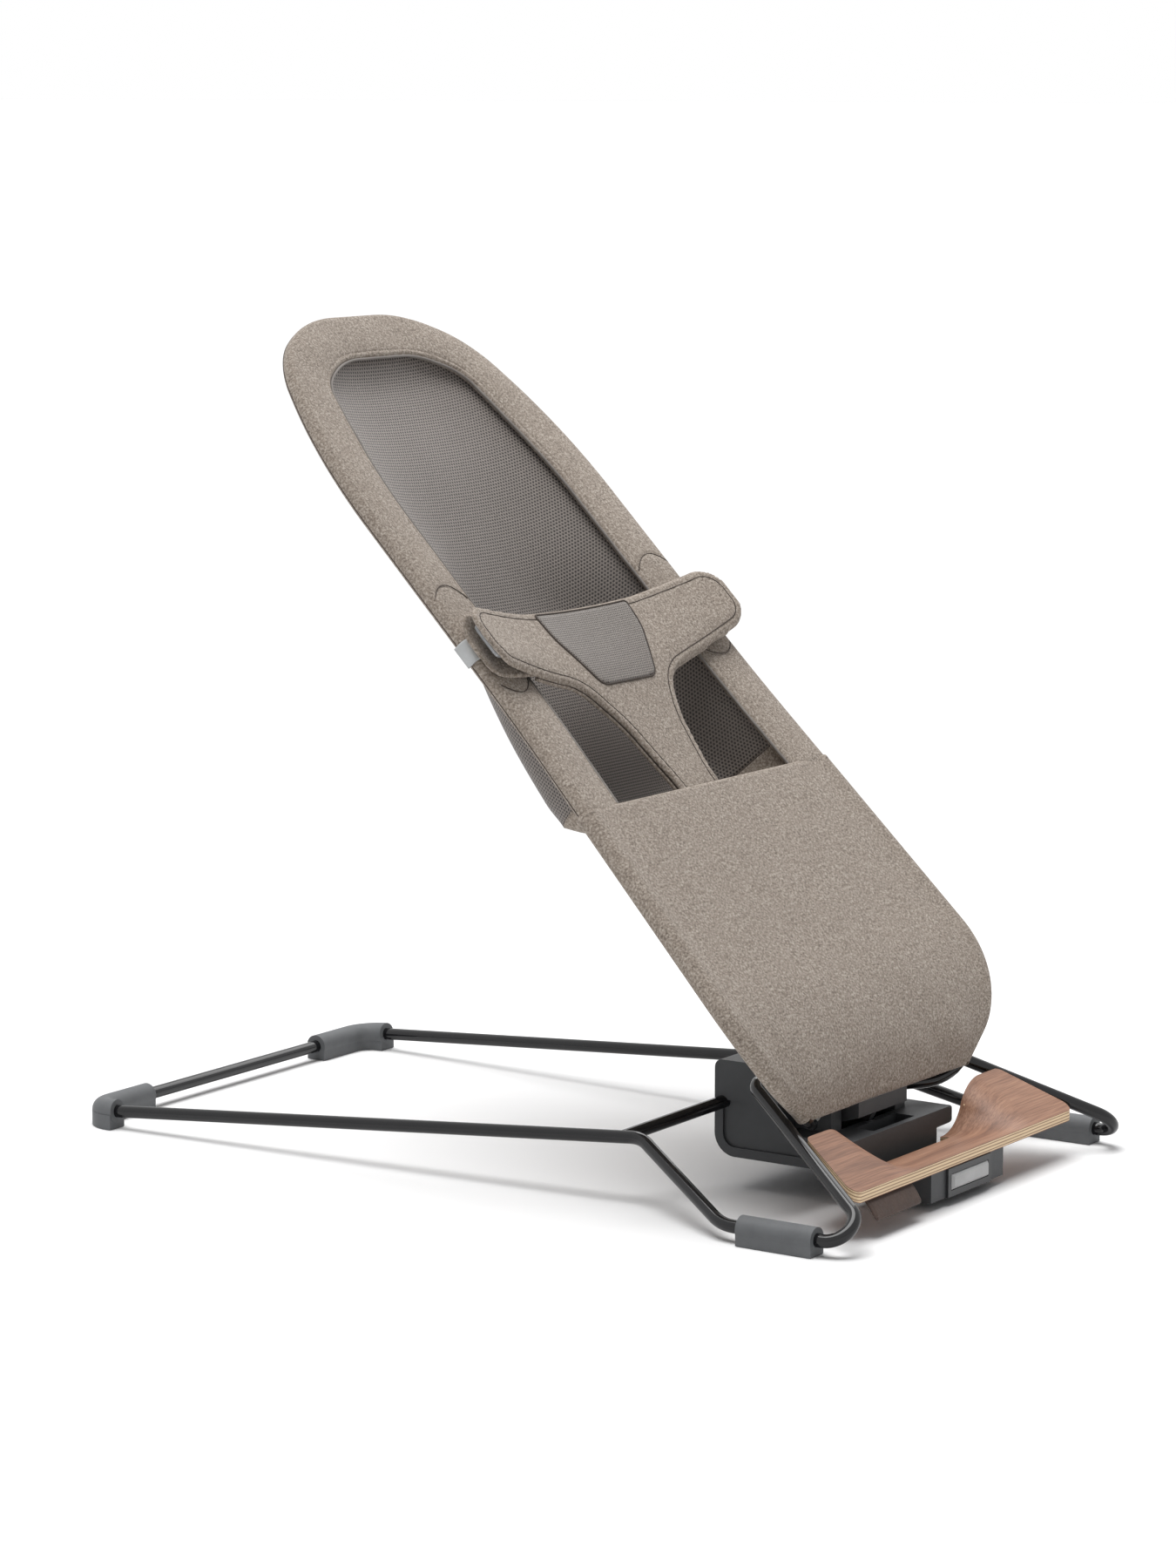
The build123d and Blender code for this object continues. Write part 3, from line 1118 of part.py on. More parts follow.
parts = {
    "rear_rod": rear_rod,
    "front_rod_right": front_rod,
    "front_rod_left": mirror_x(front_rod),
    "brace_rod_right": brace_rod,
    "brace_rod_left": mirror_x(brace_rod),
    "front_foot_right": front_foot,
    "front_foot_left": mirror_x(front_foot),
    "rear_foot_right": rear_foot,
    "rear_foot_left": mirror_x(rear_foot),
    "hub_lower_shell": hub_lower_shell,
    "hub_upper_shell": hub_upper_shell,
    "hub_side_cover_right": hub_side_cover,
    "hub_side_cover_left": mirror_x(hub_side_cover),
    "hub_screws": Compound(children=hub_screws),
    "bearing_cap_left": bearing_caps[0],
    "bearing_cap_right": bearing_caps[1],
    "bearing_bush_left": bushes[0],
    "bearing_bush_right": bushes[1],
    "bearing_cap_screws": Compound(children=cap_screws),
    "foot_plate": foot_plate,
    "foot_plate_screws": Compound(children=plate_screws),
    "leather_tag": leather_tag,
    "button_bezel": bezel,
    "release_button": button,
    "release_yoke": release_yoke,
    "lock_pin": lock_pin,
    "button_spring": button_spring,
    "seat_rod_right": seat_rod,
    "seat_rod_left": mirror_x(seat_rod),
    "seat_bracket": seat_bracket,
    "index_plate": index_plate,
    "rim_cover": rim_cover,
    "mesh_bag": mesh_bag,
    "bag_gusset": bag_gusset,
    "leg_panel": leg_panel,
    "waist_belt": waist_belt,
    "under_wing_right": under_wing,
    "under_wing_left": mirror_x(under_wing),
    "belt_mesh": belt_mesh,
    "toggle_right": toggle,
    "toggle_left": mirror_x(toggle),
    "webbing_tab_right": webbing_tab,
    "webbing_tab_left": mirror_x(webbing_tab),
}

os.makedirs("parts", exist_ok=True)
for name, shape in parts.items():
    export_step(shape, "parts/" + name + ".step")
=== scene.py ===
import math

import bmesh
import bpy
import numpy as np
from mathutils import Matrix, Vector
from mathutils.bvhtree import BVHTree


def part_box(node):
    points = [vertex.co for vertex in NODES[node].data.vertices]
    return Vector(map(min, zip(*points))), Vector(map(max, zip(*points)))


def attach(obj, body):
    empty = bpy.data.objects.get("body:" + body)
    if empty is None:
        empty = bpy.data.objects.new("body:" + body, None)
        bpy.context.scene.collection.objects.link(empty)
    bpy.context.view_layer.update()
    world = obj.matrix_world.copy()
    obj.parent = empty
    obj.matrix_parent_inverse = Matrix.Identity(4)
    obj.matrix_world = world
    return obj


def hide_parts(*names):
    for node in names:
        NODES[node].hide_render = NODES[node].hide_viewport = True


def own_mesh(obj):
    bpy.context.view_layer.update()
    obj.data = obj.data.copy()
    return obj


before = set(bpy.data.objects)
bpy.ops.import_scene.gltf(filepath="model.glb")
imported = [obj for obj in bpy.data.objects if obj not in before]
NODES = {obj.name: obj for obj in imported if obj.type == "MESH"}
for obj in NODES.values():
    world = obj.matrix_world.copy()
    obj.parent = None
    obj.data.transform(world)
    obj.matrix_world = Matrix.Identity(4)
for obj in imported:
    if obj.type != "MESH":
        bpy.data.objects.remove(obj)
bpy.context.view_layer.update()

# Reclining bouncer seat: looks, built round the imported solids.
# Sizes are in millimetres, in the seat's own frame where they belong to it, and follow the solids.
MM = 0.001
SEAT_ANGLE = math.radians(45.7)
KNEE_Y = -253.0
KNEE_Z = 124.0
SEAT_CORNER = (97.0, -258.0, 59.0)
KNEE_HALF_W = 172.0
WAIST = (150.0, 300.0)
SHOULDER = (148.0, 545.0)
CROWN = (113.0, 637.0)
HEAD = (56.0, 669.0)
BACK_RADII = (1300.0, 340.0, 82.0, 115.0)
KNEE_R = 80.0
RIM_R = 6.2
RIM_TOP = 6.1
RIM_IN = 40.0
RIM_UNDER = 0.82  # fullness of the band's back against its front
RIM_EDGE = 2.5
POCKET_T = 212.0
BAG_LAP = 6.0
BAG_LOW_T = 236.0
BAG_DEPTHS = ((236, 60), (323, 55), (413, 42), (483, 28), (541, 18), (592, 14), (622, 11))
GUSSET_T = 168.0
BELT_T = 4.0
BELT_HALF_W = 164.0
BELT_MID_V = 5.0
BELT_TIP_V = 25.0

SIN = math.sin(SEAT_ANGLE)
COS = math.cos(SEAT_ANGLE)
SIDES = ((1.0, "right"), (-1.0, "left"))


def seat(x, t, v):
    # Seat coordinates in mm (across, up the back, out of it) to metres in the frame.
    x, t, v = np.broadcast_arrays(np.asarray(x, float), t, v)
    y = KNEE_Y + t * COS - v * SIN
    z = KNEE_Z + t * SIN + v * COS
    return np.stack([x, y, z], -1) * MM


def smooth(a, b, x):
    s = np.clip((np.asarray(x, float) - a) / (b - a), 0.0, 1.0)
    return s * s * (3 - 2 * s)


def lengths(line):
    # Distance run along a line at each of its points.
    return np.concatenate([[0], np.cumsum(np.linalg.norm(np.diff(line, axis=0), axis=1))])


def rounded(points, radii, step):
    # Evenly spaced points along straight runs joined by tangent arcs.
    pts = [np.array(p, float) for p in points]
    line = [pts[0]]
    for a, b, c, r in zip(pts[:-2], pts[1:-1], pts[2:], radii):
        d0 = (b - a) / np.linalg.norm(b - a)
        d1 = (c - b) / np.linalg.norm(c - b)
        turn = math.acos(np.clip(d0 @ d1, -1, 1))
        start = b - d0 * r * math.tan(turn / 2)
        side = d1 - d0 * (d0 @ d1)
        side /= np.linalg.norm(side)
        for k in range(25):
            a_k = turn * k / 24
            line.append(start + side * r * (1 - math.cos(a_k)) + d0 * r * math.sin(a_k))
    line.append(pts[-1])
    line = np.array(line)
    run = lengths(line)
    n = max(2, int(round(run[-1] / step)))
    at = np.linspace(0, run[-1], n + 1)
    return np.stack([np.interp(at, run, line[:, i]) for i in range(line.shape[1])], -1)


def tangents(line):
    d = np.gradient(line, axis=0)
    return d / np.linalg.norm(d, axis=1)[:, None]


def add_mesh(name, verts, faces, body, mat, cloth=None, depth=None):
    mesh = bpy.data.meshes.new(name)
    mesh.from_pydata([tuple(p) for p in np.asarray(verts).reshape(-1, 3)], [], faces)
    mesh.validate()
    bm = bmesh.new()
    bm.from_mesh(mesh)
    bmesh.ops.recalc_face_normals(bm, faces=bm.faces)
    bm.to_mesh(mesh)
    bm.free()
    mesh.polygons.foreach_set("use_smooth", [True] * len(mesh.polygons))
    if cloth is not None:
        flat = np.asarray(cloth, np.float32).reshape(-1, 2)
        flat = np.concatenate([flat, np.zeros((len(flat), 1), np.float32)], 1)
        layer = mesh.attributes.new("cloth", "FLOAT_VECTOR", "POINT")
        layer.data.foreach_set("vector", flat.ravel())
    if depth is not None:
        layer = mesh.attributes.new("depth", "FLOAT", "POINT")
        layer.data.foreach_set("value", np.asarray(depth, np.float32).ravel())
    obj = bpy.data.objects.new(name, mesh)
    bpy.context.scene.collection.objects.link(obj)
    mesh.materials.append(mat)
    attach(obj, body)
    return obj


def quads(rows, cols, wrap=False):
    faces = []
    for i in range(rows - 1):
        for j in range(cols if wrap else cols - 1):
            k = (j + 1) % cols
            faces.append((i * cols + j, i * cols + k, (i + 1) * cols + k, (i + 1) * cols + j))
    return faces


def closed_quads(rows, cols):
    # Faces of a tube, with a cap at each end.
    faces = quads(rows, cols, wrap=True)
    faces.append(tuple(range(cols)))
    faces.append(tuple((rows - 1) * cols + k for k in range(cols)))
    return faces


def thicken(obj, thick, offset):
    mod = obj.modifiers.new("thick", "SOLIDIFY")
    mod.thickness = thick * MM
    mod.offset = offset


# Materials
def new_material(name):
    mat = bpy.data.materials.new(name)
    mat.use_nodes = True
    tree = mat.node_tree
    return mat, tree, tree.nodes["Principled BSDF"]


def add(tree, kind, links=(), **values):
    n = tree.nodes.new(kind)
    for key, value in values.items():
        setattr(n, key, value)
    for key, source in dict(links).items():
        tree.links.new(source, n.inputs[key])
    return n


def math_node(tree, op, a, b=None, c=None):
    n = tree.nodes.new("ShaderNodeMath")
    n.operation = op
    for i, value in enumerate((a, b, c)):
        if value is None:
            continue
        if isinstance(value, (int, float)):
            n.inputs[i].default_value = value
        else:
            tree.links.new(value, n.inputs[i])
    return n.outputs[0]


def ramp(tree, source, stops):
    n = tree.nodes.new("ShaderNodeValToRGB")
    while len(n.color_ramp.elements) < len(stops):
        n.color_ramp.elements.new(0.5)
    for e, (pos, colour) in zip(n.color_ramp.elements, stops):
        e.position = pos
        e.color = (*colour, 1.0)
    tree.links.new(source, n.inputs[0])
    return n.outputs[0]


def noise(tree, scale, detail=2.0, rough=0.5, vector=None):
    n = tree.nodes.new("ShaderNodeTexNoise")
    n.inputs["Scale"].default_value = scale
    n.inputs["Detail"].default_value = detail
    n.inputs["Roughness"].default_value = rough
    if vector is None:
        vector = add(tree, "ShaderNodeTexCoord").outputs["Object"]
    tree.links.new(vector, n.inputs["Vector"])
    return n.outputs["Fac"]


def bump(tree, bsdf, height, strength, distance):
    n = tree.nodes.new("ShaderNodeBump")
    n.inputs["Strength"].default_value = strength
    n.inputs["Distance"].default_value = distance
    tree.links.new(height, n.inputs["Height"])
    tree.links.new(n.outputs["Normal"], bsdf.inputs["Normal"])


def mix(tree, factor, a, b, blend="MIX"):
    n = tree.nodes.new("ShaderNodeMix")
    n.data_type = "RGBA"
    n.blend_type = blend
    colour_in = [s for s in n.inputs if s.type == "RGBA"]
    for socket, value in ((n.inputs[0], factor), (colour_in[0], a), (colour_in[1], b)):
        if isinstance(value, (int, float)):
            socket.default_value = value
        elif isinstance(value, tuple):
            socket.default_value = (*value, 1.0)
        else:
            tree.links.new(value, socket)
    return [s for s in n.outputs if s.type == "RGBA"][0]


def melange(name):
    # Heathered yarn: fine speckle, soft drift between warm and grey, a little fuzz.
    mat, tree, bsdf = new_material(name)
    fine = noise(tree, 620.0, 3.0, 0.65)
    drift = noise(tree, 90.0, 2.0, 0.5)
    dark = (0.112, 0.089, 0.071)
    mid = (0.305, 0.259, 0.217)
    pale = (0.575, 0.515, 0.450)
    yarn = ramp(tree, fine, ((0.30, dark), (0.50, mid), (0.70, pale)))
    warm = (0.33, 0.268, 0.218)
    share = math_node(tree, "MULTIPLY", drift, 0.35)
    tree.links.new(mix(tree, share, yarn, warm), bsdf.inputs["Base Color"])
    bsdf.inputs["Roughness"].default_value = 0.92
    bsdf.inputs["Specular IOR Level"].default_value = 0.2
    bsdf.inputs["Sheen Weight"].default_value = 0.12
    bsdf.inputs["Sheen Roughness"].default_value = 0.5
    weave = math_node(tree, "ADD", fine, math_node(tree, "MULTIPLY", noise(tree, 1400.0, 1.0), 0.5))
    bump(tree, bsdf, weave, 0.35, 0.0006)
    return mat


def spacer_mesh(name, pitch, yarn, painted_hole_shade):
    # Knitted spacer mesh: staggered rows of open cells, in the cloth's own millimetres. The open cells are
    # filled with a flat dark colour: painted shade for the shadowed space seen through the holes.
    mat, tree, bsdf = new_material(name)
    cloth = add(tree, "ShaderNodeAttribute", attribute_name="cloth").outputs["Vector"]
    split = add(tree, "ShaderNodeSeparateXYZ", links={"Vector": cloth})
    row = pitch * math.sqrt(3.0)
    cells = []
    for shift in (0.0, 0.5):
        u = math_node(tree, "MULTIPLY_ADD", split.outputs["X"], 1.0 / pitch, shift)
        v = math_node(tree, "MULTIPLY_ADD", split.outputs["Y"], 1.0 / row, shift)
        du = math_node(tree, "SUBTRACT", math_node(tree, "FRACT", u), 0.5)
        dv = math_node(tree, "SUBTRACT", math_node(tree, "FRACT", v), 0.5)
        dv = math_node(tree, "MULTIPLY", dv, row / pitch)
        du2 = math_node(tree, "MULTIPLY", du, du)
        dv2 = math_node(tree, "MULTIPLY", dv, dv)
        cells.append(math_node(tree, "SQRT", math_node(tree, "ADD", du2, dv2)))
    near = math_node(tree, "MINIMUM", cells[0], cells[1])
    # Mask: 0 in the open cells, where the painted shade goes, 1 on the yarn.
    open_part = ramp(tree, near, ((0.20, (0.0, 0.0, 0.0)), (0.38, (1.0, 1.0, 1.0))))
    fine = noise(tree, 900.0, 2.0, 0.6)
    thread = ramp(tree, fine, ((0.3, tuple(0.75 * c for c in yarn)), (0.7, tuple(1.2 * c for c in yarn))))
    tree.links.new(mix(tree, open_part, painted_hole_shade, thread), bsdf.inputs["Base Color"])
    bsdf.inputs["Roughness"].default_value = 0.62
    bsdf.inputs["Specular IOR Level"].default_value = 0.35
    bsdf.inputs["Sheen Weight"].default_value = 0.25
    bsdf.inputs["Sheen Roughness"].default_value = 0.35
    bump(tree, bsdf, near, 0.6, 0.0008)
    return mat


def plain(name, colour, rough, grain_scale, grain, metal=0.0, spec=0.5, spread=0.12):
    # Moulded or painted surface with a fine texture and a slight change of tone.
    mat, tree, bsdf = new_material(name)
    tone = noise(tree, 35.0, 3.0, 0.6)
    low = tuple(c * (1.0 - spread) for c in colour)
    high = tuple(c * (1.0 + spread) for c in colour)
    tree.links.new(ramp(tree, tone, ((0.3, low), (0.7, high))), bsdf.inputs["Base Color"])
    fine = noise(tree, grain_scale, 2.0, 0.55)
    span = ramp(tree, fine, ((0.2, (rough * 0.85,) * 3), (0.8, (min(1.0, rough * 1.15),) * 3)))
    tree.links.new(span, bsdf.inputs["Roughness"])
    bsdf.inputs["Metallic"].default_value = metal
    bsdf.inputs["Specular IOR Level"].default_value = spec
    bump(tree, bsdf, fine, grain, 0.0003)
    return mat


def walnut(name):
    # Veneer with the grain across the plate; plies show wherever depth is inside the sheet.
    mat, tree, bsdf = new_material(name)
    place = add(tree, "ShaderNodeTexCoord").outputs["Object"]
    stretch = add(tree, "ShaderNodeMapping", links={"Vector": place})
    stretch.inputs["Scale"].default_value = (4.0, 60.0, 30.0)
    figure = noise(tree, 1.0, 5.0, 0.62, stretch.outputs[0])
    pores = add(tree, "ShaderNodeMapping", links={"Vector": place})
    pores.inputs["Scale"].default_value = (25.0, 900.0, 400.0)
    fibre = noise(tree, 1.0, 3.0, 0.6, pores.outputs[0])
    veneer = ramp(
        tree, figure,
        ((0.25, (0.130, 0.055, 0.030)), (0.48, (0.300, 0.148, 0.086)), (0.72, (0.43, 0.235, 0.145))),
    )
    streak = ramp(tree, fibre, ((0.35, (0.62, 0.56, 0.52)), (0.62, (1.0, 1.0, 1.0))))
    veneer = mix(tree, 1.0, veneer, streak, "MULTIPLY")
    depth = add(tree, "ShaderNodeAttribute", attribute_name="depth").outputs["Fac"]
    band = math_node(tree, "FRACT", math_node(tree, "MULTIPLY", depth, 3.5))
    plies = ramp(
        tree, band,
        ((0.58, (0.88, 0.68, 0.43)), (0.64, (0.40, 0.235, 0.13)), (0.94, (0.42, 0.25, 0.14)),
         (1.0, (0.88, 0.68, 0.43))),
    )
    plies = mix(tree, 0.35, plies, mix(tree, 1.0, plies, streak, "MULTIPLY"))
    inner = math_node(tree, "MULTIPLY", depth, math_node(tree, "SUBTRACT", 1.0, depth))
    edge = math_node(tree, "GREATER_THAN", inner, 0.055)
    tree.links.new(mix(tree, edge, veneer, plies), bsdf.inputs["Base Color"])
    bsdf.inputs["Roughness"].default_value = 0.55
    bsdf.inputs["Coat Weight"].default_value = 0.05
    bsdf.inputs["Coat Roughness"].default_value = 0.3
    bump(tree, bsdf, fibre, 0.12, 0.0003)
    return mat


fabric = melange("taupe_melange")
# The last colour given to each spacer mesh is the painted shade in its open cells.
mesh_mat = spacer_mesh("spacer_mesh", 2.9, (0.245, 0.215, 0.195), (0.030, 0.026, 0.024))
belt_mesh_mat = spacer_mesh("belt_spacer_mesh", 2.2, (0.225, 0.197, 0.175), (0.05, 0.044, 0.04))
edge_mat = plain("mesh_edge_tape", (0.20, 0.18, 0.165), 0.7, 1500.0, 0.5, spread=0.2)
# Dark seam material: thread on the stitch lines, painted shade on the belt's edge lines.
seam_and_shade_mat = plain("seam_thread_and_painted_shade", (0.055, 0.042, 0.034), 0.9, 1500.0, 0.4)
black_mat = plain("gloss_black_paint", (0.008, 0.008, 0.009), 0.1, 500.0, 0.01, spec=0.4)
rubber_mat = plain("grey_rubber", (0.125, 0.13, 0.135), 0.62, 700.0, 0.12, spec=0.35)
hub_mat = plain("charcoal_plastic", (0.046, 0.048, 0.051), 0.5, 1600.0, 0.18, spec=0.4)
bezel_mat = plain("dark_bezel", (0.024, 0.025, 0.027), 0.42, 1600.0, 0.1)
button_mat = plain("light_grey_plastic", (0.42, 0.42, 0.42), 0.42, 1600.0, 0.08)
toggle_mat = plain("grey_toggle", (0.40, 0.41, 0.42), 0.35, 1600.0, 0.06)
web_mat = plain("grey_webbing", (0.50, 0.51, 0.51), 0.75, 1300.0, 0.5)
steel_mat = plain("zinc_steel", (0.56, 0.56, 0.55), 0.32, 900.0, 0.06, metal=1.0)
bush_mat = plain("acetal", (0.62, 0.61, 0.58), 0.4, 900.0, 0.05)
tag_mat = plain("brown_leather", (0.056, 0.031, 0.022), 0.6, 420.0, 0.55, spread=0.3)
wood_mat = walnut("walnut_ply")

# The solids that stay take a finish and slightly broken edges
STAYING = {
    black_mat: ("rear_rod", "front_rod_right", "front_rod_left", "brace_rod_right",
                "brace_rod_left", "seat_rod_right", "seat_rod_left"),
    rubber_mat: ("front_foot_right", "front_foot_left", "rear_foot_right", "rear_foot_left"),
    hub_mat: ("hub_lower_shell", "hub_upper_shell", "hub_side_cover_right", "hub_side_cover_left",
              "bearing_cap_left", "bearing_cap_right", "release_yoke", "seat_bracket"),
    bezel_mat: ("button_bezel",),
    button_mat: ("release_button",),
    steel_mat: ("hub_screws", "bearing_cap_screws", "foot_plate_screws", "lock_pin", "index_plate"),
    bush_mat: ("bearing_bush_left", "bearing_bush_right"),
}
EDGE_BREAK = {"rubber": 1.6, "hub": 0.8, "release_button": 0.9, "button_bezel": 0.6}
for mat, names in STAYING.items():
    for name in names:
        obj = NODES[name]
        obj.data.materials.clear()
        obj.data.materials.append(mat)
        wide = 0.0
        if "foot" in name and "plate" not in name:
            wide = EDGE_BREAK["rubber"]
        elif name.startswith("hub_") and "screw" not in name:
            wide = EDGE_BREAK["hub"]
        elif name in EDGE_BREAK:
            wide = EDGE_BREAK[name]
        if wide:
            mod = obj.modifiers.new("edges", "BEVEL")
            mod.width = wide * MM
            mod.segments = 3
            mod.limit_method = "ANGLE"
            mod.angle_limit = math.radians(35)

# Seat frame line, above the pocket edge
def on_back(t):
    t = np.asarray(t, float)
    low = KNEE_HALF_W + (WAIST[0] - KNEE_HALF_W) * t / WAIST[1]
    high = WAIST[0] + (SHOULDER[0] - WAIST[0]) * (t - WAIST[1]) / (SHOULDER[1] - WAIST[1])
    return np.where(t <= WAIST[1], low, high)


RIM_FROM = POCKET_T - 14.0
half_line = rounded(
    [(float(on_back(RIM_FROM)), RIM_FROM), WAIST, SHOULDER, CROWN, HEAD, (0.0, HEAD[1])],
    BACK_RADII, 1.6,
)
rim_line = np.concatenate([half_line, half_line[-2::-1] * (-1, 1)])
rim_dir = tangents(rim_line)
rim_run = lengths(rim_line)
rim_in = np.stack([-rim_dir[:, 1], rim_dir[:, 0]], -1)
# The band is a little narrower round the head.
HEAD_NARROW = 0.13
rim_in *= (1 - HEAD_NARROW * smooth(560.0, 640.0, rim_line[:, 1]))[:, None]

# Padded rim: a roll round the rod, a crowned band and a rolled inner edge
SEAM_TURN = math.radians(200.0)
ARC_SEAMS = ((334.0, -1.0), (402.0, 1.0))
ARC_BOW = 16.0


def arc_bow(u):
    return ARC_BOW * (1.0 - ((u - 16.0) / 24.0) ** 2)


roll = [(math.pi / 2 + math.pi * k / 14) for k in range(15)]
outer_u = [RIM_R * math.cos(a) for a in roll]
outer_v = [RIM_R * math.sin(a) for a in roll]
band_u = np.concatenate([np.arange(0.8, 4.0, 0.5), np.linspace(4.5, RIM_IN - 6.5, 14),
                         np.arange(RIM_IN - 5.8, RIM_IN - 2.0, 0.6)])
EDGE_ROLL = 2.4
BAND_CROWN = 1.5
FILL_WAVES = ((0.45, 31.0, 0.0), (0.35, 12.7, 1.3))


def band_top(u):
    crown = BAND_CROWN * np.sin(np.pi * np.clip(u / RIM_IN, 0, 1)) ** 0.8
    return RIM_TOP + (RIM_EDGE - RIM_TOP) * u / RIM_IN + crown


def groove(x, centre, width, deep):
    return -deep * np.exp(-(((x - centre) / width) ** 2))


edge_a = [math.pi / 2 - math.pi * k / 8 for k in range(1, 8)]
edge_u = [RIM_IN - EDGE_ROLL + EDGE_ROLL * math.cos(a) for a in edge_a]
edge_v = [EDGE_ROLL * math.sin(a) for a in edge_a]
sec_u = np.concatenate([outer_u[::-1], band_u, edge_u, band_u[::-1]])
top_v = band_top(band_u)
sec_v = np.concatenate([outer_v[::-1], top_v, edge_v, -top_v[::-1] * RIM_UNDER])

verts = np.zeros((len(rim_line), len(sec_u), 3))
t_at = rim_line[:, 1]
# Soft filling: the band rises and falls a little along its length.
fill = sum(high * np.sin(rim_run / wave + start) for high, wave, start in FILL_WAVES)
tuck = 1.0 - 0.22 * (1.0 - smooth(POCKET_T - 3.0, POCKET_T + 2.0, t_at))
for j, (u, v) in enumerate(zip(sec_u, sec_v)):
    lift = np.zeros(len(rim_line))
    if u > -2.0:
        lift += groove(u, RIM_IN - 5.0, 0.7, 0.5)
        for arc_t, way in ARC_SEAMS:
            lift += groove(t_at, arc_t + way * arc_bow(u), 1.4, 0.7)
    lift += fill * math.sin(math.pi * min(1.0, max(0.0, u / RIM_IN)))
    vv = (v + lift * np.sign(v)) * tuck
    verts[:, j] = seat(rim_line[:, 0] + rim_in[:, 0] * u, t_at + rim_in[:, 1] * u, vv)
rim = add_mesh("padded_rim", verts, closed_quads(len(rim_line), len(sec_u)), "seat", fabric)
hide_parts("rim_cover")


def tube(name, line3, r, mat, body, sides=8):
    d = tangents(line3)
    up = np.array([0.0, -SIN, COS])
    side = np.cross(d, up)
    side /= np.linalg.norm(side, axis=1)[:, None]
    top = np.cross(side, d)
    ring = [2 * math.pi * k / sides for k in range(sides)]
    v = np.stack([line3 + (side * math.cos(a) + top * math.sin(a)) * r * MM for a in ring], 1)
    return add_mesh(name, v, closed_quads(len(line3), sides), body, mat)


def rim_offset(u, v, low_t):
    keep = rim_line[:, 1] > low_t
    line = rim_line + rim_in * u
    return seat(line[keep, 0], line[keep, 1], v)


tube("rim_outer_seam", rim_offset(RIM_R * math.cos(SEAM_TURN), RIM_R * math.sin(SEAM_TURN), POCKET_T + 1.0),
     0.4, seam_and_shade_mat, "seat", 6)
tube("mesh_edge_tape", rim_offset(RIM_IN + 1.0, 1.2, POCKET_T + 1.0), 1.1, edge_mat,
     "seat")
for sx, side in SIDES:
    for number, (arc_t, way) in enumerate(ARC_SEAMS):
        u = np.linspace(-4.0, RIM_IN - 3.0, 30)
        t = arc_t + way * arc_bow(u)
        v = np.where(u < 0.8, np.sqrt(np.maximum(RIM_R**2 - u**2, 0.0)), band_top(u)) - 0.3
        line = seat(sx * (on_back(t) - u), t, v)
        tube("rim_arc_seam_" + side + str(number), line, 0.35, seam_and_shade_mat, "seat", 6)

# Mesh bag and its cloth low end
bag_ring = rim_line + rim_in * (RIM_IN - BAG_LAP)
half = bag_ring[: len(half_line)]
BAG_EDGE_V = -2.9
BAG_HIGH_T = float(half[:, 1].max()) - 0.3


def bag_half(t):
    return np.interp(t, half[:, 1], half[:, 0])


def through(stations, t):
    # Smooth curve through a few listed values.
    at, value = np.array(stations, float).T
    slope = np.gradient(value, at)
    i = int(np.clip(np.searchsorted(at, t) - 1, 0, len(at) - 2))
    h = at[i + 1] - at[i]
    s = (t - at[i]) / h
    a = (2 * s**3 - 3 * s**2 + 1) * value[i] + (s**3 - 2 * s**2 + s) * h * slope[i]
    b = (-2 * s**3 + 3 * s**2) * value[i + 1] + (s**3 - s**2) * h * slope[i + 1]
    return float(a + b)


BAG_COLS = 97
BAG_BOX = 16.0
BAG_ARC = 2.6
BAG_END_ROUND = 0.04
BAG_END_RUN = 22.0


def bag_section(w, edge, low, power):
    # Hanging curve across the seat: a high power gives steep sides, a low one a plain sag.
    x = w * np.sin(np.linspace(math.pi / 2, -math.pi / 2, 801))
    v = edge + (low - edge) * (1 - np.abs(x / w) ** power)
    run = np.concatenate([[0], np.cumsum(np.hypot(np.diff(x), np.diff(v)))])
    across = np.linspace(0, run[-1], BAG_COLS)
    return np.interp(across, run, x), np.interp(across, run, v), across - run[-1] / 2


def bag_deep(t):
    rounding = BAG_END_ROUND * (1 - smooth(BAG_LOW_T, BAG_LOW_T + BAG_END_RUN, t))
    return through(BAG_DEPTHS + ((BAG_HIGH_T, 3.0),), t) * (1 - rounding)


rows = []
cloths = []
bag_t = np.concatenate([np.arange(BAG_LOW_T, 622.0, 4.0), np.linspace(623.0, BAG_HIGH_T, 9)])
for t in bag_t:
    power = BAG_ARC + (BAG_BOX - BAG_ARC) * (1 - smooth(BAG_LOW_T, 470.0, t)) ** 1.3
    x, v, across = bag_section(float(bag_half(t)), BAG_EDGE_V, -bag_deep(t), power)
    rows.append(seat(x, t, v))
    cloths.append(np.stack([across, np.full(BAG_COLS, t)], -1))
bag = add_mesh("mesh_bag_shell", rows, quads(len(rows), BAG_COLS), "seat", mesh_mat,
               cloth=cloths)
thicken(bag, 2.2, 0.0)
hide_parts("mesh_bag")

